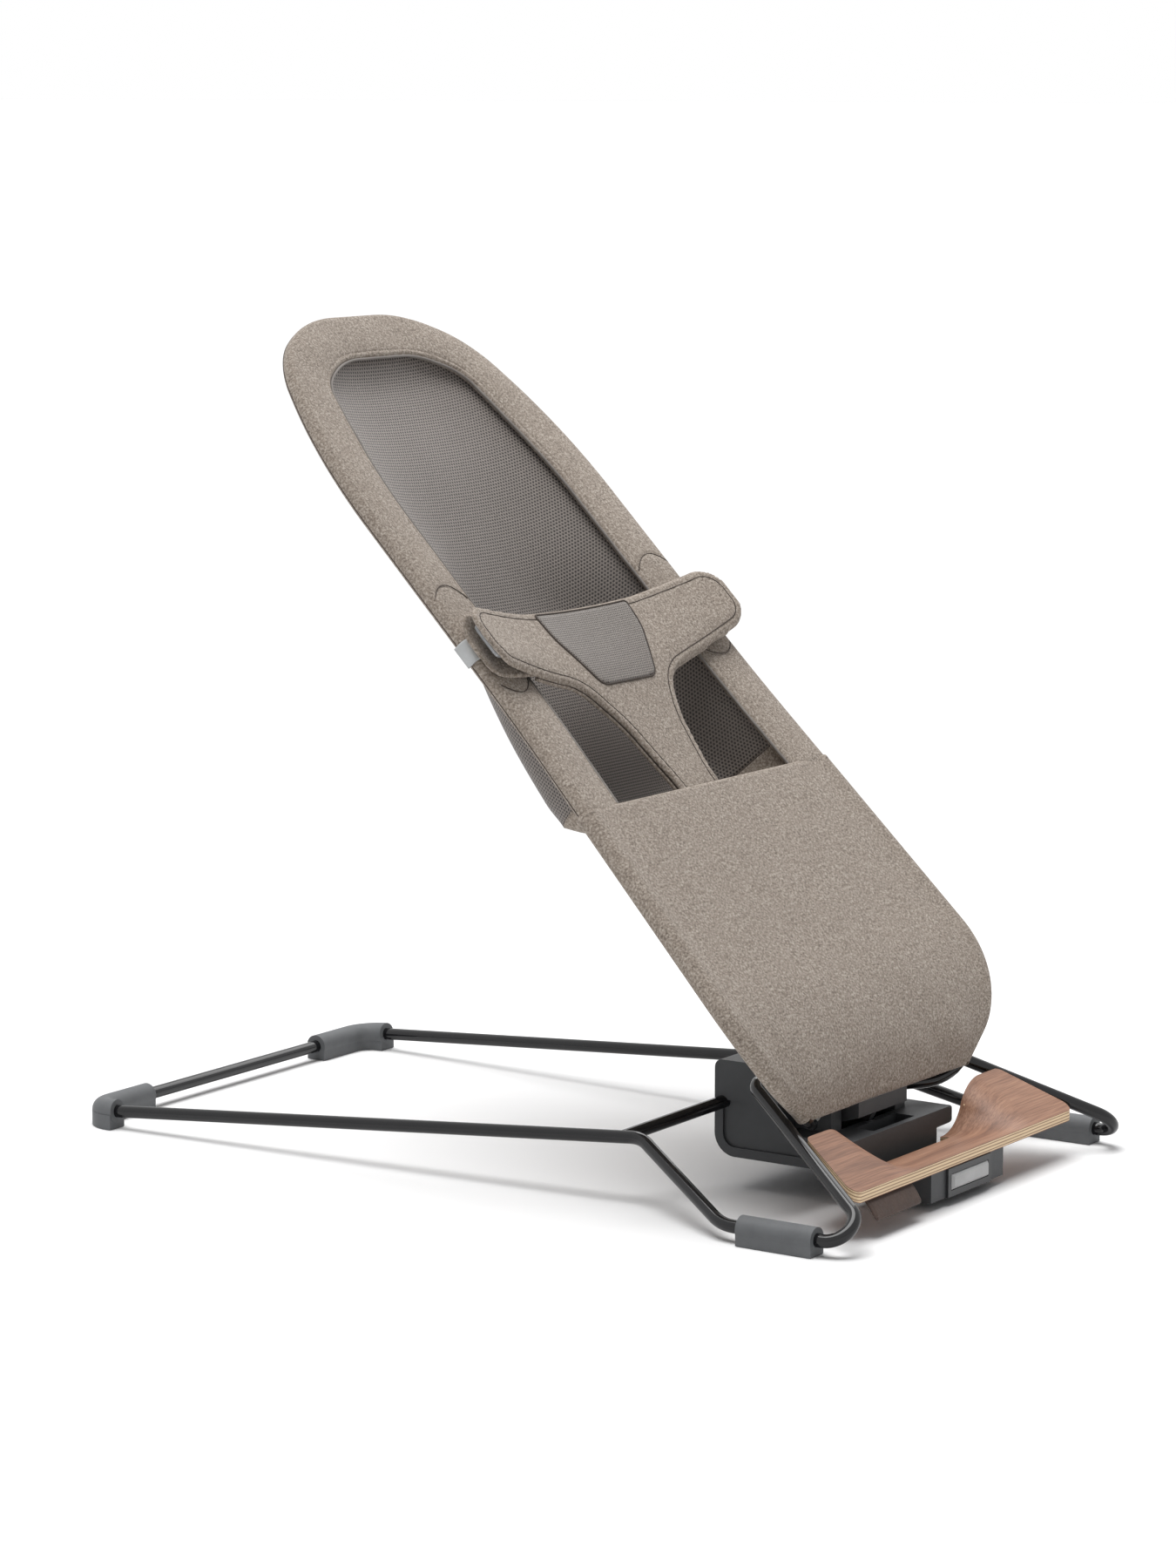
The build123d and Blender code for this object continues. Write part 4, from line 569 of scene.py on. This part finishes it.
# Cloth end of the bag: from the mesh, round under the pocket, to the back of the leg panel
GUSSET_ENDS = (GUSSET_T, 197.0, 209.0, 226.2, BAG_LOW_T + 0.6)
low_w = float(bag_half(BAG_LOW_T))
low_deep = bag_deep(BAG_LOW_T)
gusset_w = list(zip(GUSSET_ENDS, (low_w - 9.0, low_w - 7.5, low_w - 1.0, low_w, low_w)))
gusset_edge = list(zip(GUSSET_ENDS, (2.6, 0.0, BAG_EDGE_V, BAG_EDGE_V, BAG_EDGE_V)))
gusset_low = list(zip(GUSSET_ENDS, (-1.6, -low_deep * 0.38, -low_deep * 0.59, -low_deep * 0.88, -low_deep)))
gusset_power = list(zip(GUSSET_ENDS, (6.0, 8.0, 10.0, 13.0, BAG_BOX)))
rows = []
for t in np.linspace(GUSSET_ENDS[-1], GUSSET_T, 30):
    x, v, across = bag_section(*(through(g, t) for g in (gusset_w, gusset_edge, gusset_low, gusset_power)))
    rows.append(seat(x, t, v))
gusset = add_mesh("bag_low_end", rows, quads(len(rows), BAG_COLS), "seat", fabric)
thicken(gusset, 2.2, 0.0)
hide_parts("bag_gusset")

# Leg panel: cloth stretched round both rods, from the hem to the folded pocket edge
corner = np.array(SEAT_CORNER)
knee = np.array((KNEE_HALF_W, KNEE_Y, KNEE_Z))
top = np.array(seat(float(on_back(POCKET_T)), POCKET_T, 0.0)) / MM
HEM_SHARE = 0.19
leg_line = rounded([corner + (knee - corner) * HEM_SHARE, knee, top], [KNEE_R], 3.0)
leg_dir = tangents(leg_line)
leg_out = np.stack([np.zeros(len(leg_dir)), -leg_dir[:, 2], leg_dir[:, 1]], -1)
leg_out /= np.linalg.norm(leg_out, axis=1)[:, None]
leg_side = np.cross(leg_dir, leg_out)
leg_run = lengths(leg_line)
PANEL_V = 5.6
SLEEVE_R = 7.6
HEM_SLEEVE_R = 6.3
WRAP_COLS = 13
FLAT_COLS = 61
PANEL_SAG = 2.2
PULL_FOLDS = (3.8, 2.4)
leg_rows = []
for i, (p, d, f, e) in enumerate(zip(leg_line, leg_dir, leg_out, leg_side)):
    up_share = leg_run[i] / leg_run[-1]
    sleeve = float(HEM_SLEEVE_R + (SLEEVE_R - HEM_SLEEVE_R) * smooth(0.0, 45.0, leg_run[i]))
    wrap_from = -0.62 + 0.34 * (1 - float(smooth(0.0, 50.0, leg_run[i])))
    row = []
    for sx in (-1.0, 1.0):
        arc = []
        for k in range(WRAP_COLS):
            a = math.pi * (wrap_from + (0.5 - wrap_from) * k / (WRAP_COLS - 1))
            q = p + e * sleeve * math.cos(a) + f * sleeve * math.sin(a)
            arc.append((sx * q[0], q[1], q[2]))
        row.append(arc if sx < 0 else arc[::-1])
    flat = []
    for k in range(1, FLAT_COLS - 1):
        share = k / (FLAT_COLS - 1)
        x = (2 * share - 1) * p[0]
        inside = p[0] - abs(x)
        v = PANEL_V + (sleeve - PANEL_V) * math.exp(-((inside / 7.0) ** 2))
        # Drawn in a little between the rods, with slack pull folds above the hem.
        v -= PANEL_SAG * math.sin(math.pi * share) * math.sin(math.pi * up_share) ** 2
        low = math.exp(-((leg_run[i] - 26.0) / 26.0) ** 2)
        lean = leg_run[i] * 0.8
        corner_pull = math.exp(-((inside - lean - 12.0) / 22.0) ** 2)
        second_pull = math.exp(-((inside - lean * 1.5 - 52.0) / 18.0) ** 2)
        v += low * (PULL_FOLDS[0] * corner_pull + PULL_FOLDS[1] * second_pull)
        v += 0.5 * math.sin(x / 19.0 + leg_run[i] / 23.0) * math.sin(math.pi * share) * (1 - up_share)
        q = p + f * v
        flat.append((x, q[1], q[2]))
    leg_rows.append(row[0] + flat + row[1])
leg_rows = np.array(leg_rows)
n_col = leg_rows.shape[1]
# The hem rolls under and the pocket edge folds in; round the rods both turn in toward the rod.
hem_rows = []
for back, down in ((5.5, -1.5), (4.2, -3.6), (1.8, -4.2)):
    q = leg_rows[0] - leg_out[0] * back + leg_dir[0] * down * 0.4
    q[:, 0] = leg_rows[0][:, 0]
    q[:, 2] += down * 0.5
    hem_rows.append(q)
fold_rows = []
for back, on in ((1.2, 1.4), (3.0, 1.3), (4.2, -1.0), (4.2, -9.0)):
    fold_rows.append(leg_rows[-1] - leg_out[-1] * back + leg_dir[-1] * (0, 1, 1) * on)
HEM_TURN = ((1.2, 1.2), (0.9, -0.8), (0.3, -0.8))
FOLD_TURN = ((0.4, 0.5), (1.0, 0.5), (1.3, -0.6), (1.3, -3.0))
for rows, at, turns in ((hem_rows, 0, HEM_TURN), (fold_rows, -1, FOLD_TURN)):
    for k in list(range(WRAP_COLS)) + list(range(n_col - WRAP_COLS, n_col)):
        edge = leg_rows[at][k]
        to_rod = leg_line[at] * (-1.0 if k < WRAP_COLS else 1.0, 1.0, 1.0) - edge
        to_rod /= np.linalg.norm(to_rod)
        for row, (deep, on) in zip(rows, turns):
            row[k] = edge + to_rod * deep + leg_dir[at] * (0, 1, 1) * on
leg_all = np.concatenate([hem_rows, leg_rows, fold_rows]) * MM
leg = add_mesh("leg_panel_cloth", leg_all, quads(len(leg_all), n_col), "seat", fabric)
thicken(leg, 1.5, -1.0)
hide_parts("leg_panel")

# Flat cut pieces: an outline filled with a fine grid, rounded over at its edge
def outline(points, radii, step=1.5):
    start = ((points[0][0] + points[-1][0]) / 2, (points[0][1] + points[-1][1]) / 2)
    return rounded([start] + list(points) + [start], radii, step)[:-1]


def edge_distance(poly, pts):
    best = np.full(len(pts), 1e9)
    near = np.zeros_like(pts)
    for a, b in zip(poly, np.roll(poly, -1, axis=0)):
        ab = b - a
        s = np.clip(((pts - a) @ ab) / max(ab @ ab, 1e-12), 0, 1)
        q = a + s[:, None] * ab
        d = np.hypot(*(pts - q).T)
        closer = d < best
        best[closer] = d[closer]
        near[closer] = q[closer]
    return best, near


def is_inside(poly, pts):
    hit = np.zeros(len(pts), bool)
    for (x0, y0), (x1, y1) in zip(poly, np.roll(poly, -1, axis=0)):
        cross = (y0 > pts[:, 1]) != (y1 > pts[:, 1])
        if y0 != y1:
            hit ^= cross & (pts[:, 0] < (x1 - x0) * (pts[:, 1] - y0) / (y1 - y0) + x0)
    return hit


def cut_piece(name, poly, place, thick, body, mat, step=1.6, edge_roll=2.0, stitch=None):
    # place(x, t, h) gives the point in metres, h mm off the middle of the thickness.
    low = poly.min(0)
    high = poly.max(0)
    nx = int((high[0] - low[0]) / step) + 3
    nt = int((high[1] - low[1]) / step) + 3
    gx, gt = np.meshgrid(low[0] - step + np.arange(nx) * step, low[1] - step + np.arange(nt) * step)
    pts = np.stack([gx.ravel(), gt.ravel()], -1)
    inner = is_inside(poly, pts)
    faces = []
    for i in range(nt - 1):
        for j in range(nx - 1):
            ring = [i * nx + j, i * nx + j + 1, (i + 1) * nx + j + 1, (i + 1) * nx + j]
            ring = [k for k in ring if inner[k]]
            if len(ring) >= 3:
                faces.append(tuple(ring))
    count = {}
    for ring in faces:
        for a, b in zip(ring, ring[1:] + ring[:1]):
            key = (min(a, b), max(a, b))
            count[key] = count.get(key, 0) + 1
    border = sorted({k for key, n in count.items() if n == 1 for k in key})
    used = sorted({k for ring in faces for k in ring})
    dist, near = edge_distance(poly, pts[used])
    spot = {k: i for i, k in enumerate(used)}
    flat = pts[used].copy()
    on_edge = np.array([spot[k] for k in border])
    flat[on_edge] = near[on_edge]
    dist[on_edge] = 0.0
    rise = thick / 2 * np.sqrt(1 - (1 - np.clip(dist / edge_roll, 0, 1)) ** 2)
    if stitch:
        rise = rise + groove(dist, stitch, 0.9, 0.55)
    top = place(flat[:, 0], flat[:, 1], rise)
    bottom = place(flat[:, 0], flat[:, 1], -rise)
    is_edge = np.zeros(len(used), bool)
    is_edge[on_edge] = True
    under = np.arange(len(used))
    under[~is_edge] = len(used) + np.arange((~is_edge).sum())
    verts = np.concatenate([top, bottom[~is_edge]])
    top_faces = [tuple(spot[k] for k in ring) for ring in faces]
    low_faces = [tuple(int(under[k]) for k in reversed(ring)) for ring in top_faces]
    cloth = np.concatenate([flat, flat[~is_edge]])
    return add_mesh(name, verts, top_faces + low_faces, body, mat, cloth=cloth)


def inset(poly, by):
    d = np.roll(poly, -1, axis=0) - np.roll(poly, 1, axis=0)
    d /= np.hypot(*d.T)[:, None]
    moved = poly + np.stack([-d[:, 1], d[:, 0]], -1) * by
    if not is_inside(poly, moved[:1])[0]:
        moved = poly - np.stack([-d[:, 1], d[:, 0]], -1) * by
    return np.concatenate([moved, moved[:1]])


def mirrored(points):
    return list(points) + [(-x, t) for x, t in reversed(points)]


# Waist belt
def belt_low(x):
    rise = BELT_TIP_V - BELT_MID_V
    r = (BELT_HALF_W**2 + rise**2) / (2 * rise)
    return BELT_MID_V + r - np.sqrt(r**2 - np.asarray(x, float) ** 2)


STRAP_V = -4.0


def belt_mid(x, t):
    wing = belt_low(x) + BELT_T / 2
    strap = STRAP_V + (BELT_MID_V + BELT_T / 2 - STRAP_V) * smooth(222.0, 345.0, t)
    share = smooth(292.0, 345.0, t)
    return strap * (1 - share) + wing * share


BELT_PULL = 8.0


def pulled(x, t):
    # The middle of the belt is drawn toward the near side.
    x = np.asarray(x, float)
    return x - BELT_PULL * smooth(225.0, 330.0, t) * (1 - smooth(60.0, 150.0, np.abs(x)))


def on_belt(x, t, h):
    return seat(pulled(x, t), t, belt_mid(x, t) + h)


BELT_RIGHT = [(70.0, 379.0), (163.0, 386.0), (163.0, 334.0), (58.0, 311.0), (37.0, 276.0),
              (26.0, 226.0), (25.0, 188.0)]
BELT_STITCH = 6.5
BELT_RADII = [90.0, 22.0, 22.0, 40.0, 80.0, 90.0, 1.0]
belt_line = outline(mirrored(BELT_RIGHT), BELT_RADII + BELT_RADII[::-1])
belt = cut_piece("waist_belt_pad", belt_line, on_belt, 4.4, "seat", fabric,
                 edge_roll=2.6, stitch=BELT_STITCH)
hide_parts("waist_belt")
# Its seam stops under the pocket edge, so the line starts after that break.
seam = inset(belt_line, BELT_STITCH)
seam = seam[seam[:, 1] > POCKET_T - 4.0]
split = int(np.argmax(np.hypot(*np.diff(seam, axis=0).T)))
seam = np.concatenate([seam[split + 1:], seam[:split + 1]])
tube("belt_seam", on_belt(seam[:, 0], seam[:, 1], 1.9), 0.4, seam_and_shade_mat, "seat", 6)

# The belt's back shows as a second rolled edge along its low side; a thin dark line between the two is
# painted shade in the crease.
low_edge = inset(belt_line, 0.9)[:-1]
for sx, side in SIDES:
    part = low_edge[(low_edge[:, 0] * sx > 0) & (np.abs(low_edge[:, 0]) < 112.0)]
    part = part[(part[:, 1] > POCKET_T - 4.0) & (part[:, 1] < 335.0)]
    part = part[np.argsort(part[:, 1])]
    tube("belt_back_edge_" + side, on_belt(part[:, 0], part[:, 1], -2.9), 1.6, fabric,
         "seat", 10)
    # Dark line in the seam material: painted shade where the belt meets its back edge.
    tube("belt_edge_shade_line_" + side, on_belt(part[:, 0] + 0.5 * sx, part[:, 1], -1.3), 0.5, seam_and_shade_mat,
         "seat", 6)

SHIELD_RIGHT = [(60.0, 376.0), (57.0, 352.0), (35.0, 309.0)]
SHIELD_RADII = [3.0, 50.0, 12.0]
shield_line = outline(mirrored(SHIELD_RIGHT), SHIELD_RADII + SHIELD_RADII[::-1])


def on_shield(x, t, h):
    return seat(pulled(x, t), t, belt_mid(x, t) + 2.3 + h)


shield = cut_piece("belt_mesh_inset", shield_line, on_shield, 1.6, "seat",
                   belt_mesh_mat, edge_roll=1.2)
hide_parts("belt_mesh")
shield_ring = inset(shield_line, 0.2)
tube("belt_mesh_edge", on_belt(shield_ring[:, 0], shield_ring[:, 1], 2.4), 0.8, seam_and_shade_mat,
     "seat", 6)

# Second layer of each wing, its toggle and its tab
MOUTH = 10.5
LINING_UNDER = 2.4
TOGGLE_UNDER = 3.6
LINING_X = (62.0, 161.0)
TOGGLE_X = (138.0, 155.0)
TOGGLE_LOW_T = 342.0
TOGGLE_HIGH_T = 372.0
TAB_ROD_T = 357.0
TAB_LOW_T = 351.0
TAB_HIGH_T = 369.0
TAB_COLS = 13


def on_under(x, t, h):
    drop = MOUTH * smooth(105.0, 150.0, np.abs(x)) * (1 - smooth(362.0, 390.0, t))
    return seat(pulled(x, t), t, belt_low(x) - LINING_UNDER - drop + h)


def on_toggle(x, t, h):
    return seat(x, t, belt_low(x) - TOGGLE_UNDER + h)


for sx, side in SIDES:
    lo, hi = (x * sx for x in LINING_X)
    ring = outline([(lo, 376.0), (hi, 384.0), (hi, 334.0), (lo, 315.0)], [6.0, 10.0, 18.0, 6.0])
    piece = cut_piece("wing_lining_" + side, ring, on_under, 3.0, "seat", fabric,
                      edge_roll=1.5, stitch=4.0)
    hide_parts("under_wing_" + side)
    lo, hi = (x * sx for x in TOGGLE_X)
    ring = outline([(lo, TOGGLE_HIGH_T), (hi, TOGGLE_HIGH_T), (hi, TOGGLE_LOW_T), (lo, TOGGLE_LOW_T)],
                   [4.5] * 4)
    piece = cut_piece("toggle_bar_" + side, ring, on_toggle, 3.4, "seat",
                      toggle_mat, step=1.0, edge_roll=1.6)
    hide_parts("toggle_" + side)
    rod_x = float(on_back(TAB_ROD_T))
    path = rounded([(rod_x - 12.0, 7.6), (rod_x + 7.6, 7.2), (rod_x + 7.9, -4.0)], [6.0], 0.8)
    strip = []
    for x, v in path:
        strip.append([seat(sx * x, t, v) for t in np.linspace(TAB_LOW_T, TAB_HIGH_T, TAB_COLS)])
    strip = np.array(strip)
    piece = add_mesh("belt_tab_" + side, strip, quads(len(path), TAB_COLS), "seat",
                     web_mat)
    thicken(piece, 1.2, 0.0)
    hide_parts("webbing_tab_" + side)

# Blank leather tag under the plate
TAG_TILT = math.radians(35.0)
TAG_X = (-76.0, -140.0)
TAG_HANG = 17.0
TAG_TOP_Y = -323.0
TAG_TOP_Z = 26.6
TAG_CURL = 0.9


def on_tag(x, t, h):
    curl = TAG_CURL * np.sin(np.pi * np.clip(-t / TAG_HANG, 0, 1))
    y = TAG_TOP_Y + t * math.sin(TAG_TILT) - (h + curl) * math.cos(TAG_TILT)
    z = TAG_TOP_Z + t * math.cos(TAG_TILT) + (h + curl) * math.sin(TAG_TILT)
    return np.stack([x, y, z], -1) * MM


ring = outline([(TAG_X[0], 0.0), (TAG_X[0], -TAG_HANG), (TAG_X[1], -TAG_HANG), (TAG_X[1], 0.0)],
               [0.6, 3.0, 3.0, 0.6], 1.0)
tag = cut_piece("blank_tag", ring, on_tag, 2.0, "base", tag_mat, step=1.2, edge_roll=0.7,
                stitch=2.4)
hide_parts("leather_tag")

# Return spring: a coil of wire in the place of the spring solid
SPRING_WIRE_R = 0.45
SPRING_TURNS = 9
WIRE_SIDES = 8
low, high = (np.array(c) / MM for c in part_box("button_spring"))
coil_r = (high[0] - low[0]) / 2 - SPRING_WIRE_R
turn = np.linspace(0, 2 * math.pi * SPRING_TURNS, 24 * SPRING_TURNS + 1)
along = np.linspace(low[1] + SPRING_WIRE_R, high[1] - SPRING_WIRE_R, len(turn))
coil = []
for a in np.linspace(0, 2 * math.pi, WIRE_SIDES, endpoint=False):
    r = coil_r + SPRING_WIRE_R * math.cos(a)
    coil.append(np.stack([(low[0] + high[0]) / 2 + r * np.cos(turn), along + SPRING_WIRE_R * math.sin(a),
                          (low[2] + high[2]) / 2 + r * np.sin(turn)], -1) * MM)
spring = add_mesh("return_spring", np.stack(coil, 1), closed_quads(len(turn), WIRE_SIDES), "base",
                  steel_mat)
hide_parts("button_spring")
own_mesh(spring)

# Wood plate: the solid's own shape, with the plies marked through its thickness
STEEP = 0.5  # a face whose normal points less than this up or down is a wall
SLIVER = 0.25 * MM * MM  # smaller faces can point anywhere
PLY_STEP = 3.0 * MM
bm = bmesh.new()
bm.from_mesh(NODES["foot_plate"].data)
bmesh.ops.remove_doubles(bm, verts=bm.verts, dist=0.00001)
bmesh.ops.dissolve_limit(bm, angle_limit=math.radians(0.5), verts=bm.verts, edges=bm.edges)
bmesh.ops.triangulate(bm, faces=bm.faces[:])
bm.normal_update()


def some_faces(keep):
    faces = [f for f in bm.faces if keep(f.normal.z) and f.calc_area() > SLIVER]
    verts = [v.co.copy() for f in faces for v in f.verts]
    at = np.cumsum([0] + [len(f.verts) for f in faces])
    return BVHTree.FromPolygons(verts, [tuple(range(a, b)) for a, b in zip(at, at[1:])])


upper = some_faces(lambda z: z > STEEP)
lower = some_faces(lambda z: z < -STEEP)
for again in range(8):
    walls = {e for f in bm.faces if abs(f.normal.z) <= STEEP for e in f.edges}
    long_edges = [e for e in walls if e.calc_length() > PLY_STEP]
    if not long_edges:
        break
    bmesh.ops.subdivide_edges(bm, edges=long_edges, cuts=1)
    bmesh.ops.triangulate(bm, faces=bm.faces[:])
    bm.normal_update()
ply_depth = []
for v in bm.verts:
    from_top = upper.find_nearest(v.co)[3]
    from_low = lower.find_nearest(v.co)[3]
    ply_depth.append(from_top / max(from_top + from_low, 0.001 * MM))
bm.verts.index_update()
ply_verts = [v.co.copy() for v in bm.verts]
ply_faces = [tuple(v.index for v in f.verts) for f in bm.faces]
bm.free()
plate = add_mesh("walnut_plate", ply_verts, ply_faces, "base", wood_mat, depth=ply_depth)
plate.data.set_sharp_from_angle(angle=math.radians(40))
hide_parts("foot_plate")


# Floor, light and camera
SKY_LIGHT = (0.25, 0.25, 0.255)
SUN_FROM = (-0.18, 0.24, 1.6)
SUN_POWER = 2.8
SUN_SPREAD = 45.0
LAMP_AT = (0.75, 0.2, 1.05)
LAMP_AIM = (0.1, 0.2, 0.5)
LAMP_SIZE = 0.9
LAMP_POWER = 6.0


def seen_directly(tree):
    # 1 where a surface is seen by the camera, in a mirror or through glass.
    path = tree.nodes.new("ShaderNodeLightPath")
    a = math_node(tree, "MAXIMUM", path.outputs["Is Camera Ray"], path.outputs["Is Glossy Ray"])
    return math_node(tree, "MAXIMUM", a, path.outputs["Is Transmission Ray"])


floor_mat, tree, bsdf = new_material("pale_floor")
bsdf.inputs["Base Color"].default_value = (0.94, 0.94, 0.94, 1.0)
bsdf.inputs["Roughness"].default_value = 0.9
bsdf.inputs["Specular IOR Level"].default_value = 0.1
floor_mesh = bpy.data.meshes.new("floor")
FLOOR = 150.0
floor_mesh.from_pydata([(-FLOOR, -FLOOR, 0), (FLOOR, -FLOOR, 0), (FLOOR, FLOOR, 0), (-FLOOR, FLOOR, 0)],
                       [], [(0, 1, 2, 3)])
floor = bpy.data.objects.new("floor", floor_mesh)
floor.location.z = -0.0004
floor_mesh.materials.append(floor_mat)
bpy.context.scene.collection.objects.link(floor)

world = bpy.data.worlds.new("studio")
bpy.context.scene.world = world
world.use_nodes = True
tree = world.node_tree
background = tree.nodes["Background"]
sky = mix(tree, seen_directly(tree), SKY_LIGHT, (1.0, 1.0, 1.0))
tree.links.new(sky, background.inputs["Color"])
background.inputs["Strength"].default_value = 1.0


def light(name, kind, place, aim, power):
    data = bpy.data.lights.new(name, kind)
    data.energy = power
    obj = bpy.data.objects.new(name, data)
    obj.location = place
    obj.rotation_euler = (Vector(aim) - Vector(place)).to_track_quat("-Z", "Y").to_euler()
    bpy.context.scene.collection.objects.link(obj)
    return data


light("overhead", "SUN", SUN_FROM, (0, 0, 0), SUN_POWER).angle = math.radians(SUN_SPREAD)
light("head_side", "AREA", LAMP_AT, LAMP_AIM, LAMP_POWER).size = LAMP_SIZE

CAMERA_AT = (0.00126, 0.0003, 0.2689)
CAMERA_AZ = math.radians(-55.95)
CAMERA_EL = math.radians(8.79)
CAMERA_FAR = 3.366
CAMERA_LENS = 104.16
back = Vector((math.sin(CAMERA_AZ) * math.cos(CAMERA_EL), -math.cos(CAMERA_AZ) * math.cos(CAMERA_EL),
               math.sin(CAMERA_EL)))
cam_data = bpy.data.cameras.new("camera")
cam_data.lens = CAMERA_LENS
cam_data.sensor_width = 36.0
cam_data.sensor_fit = "AUTO"
cam = bpy.data.objects.new("camera", cam_data)
cam.location = Vector(CAMERA_AT) + back * CAMERA_FAR
cam.rotation_euler = (-back).to_track_quat("-Z", "Y").to_euler()
bpy.context.scene.collection.objects.link(cam)
bpy.context.scene.camera = cam
bpy.context.scene.view_settings.view_transform = "Standard"

bpy.context.view_layer.update()
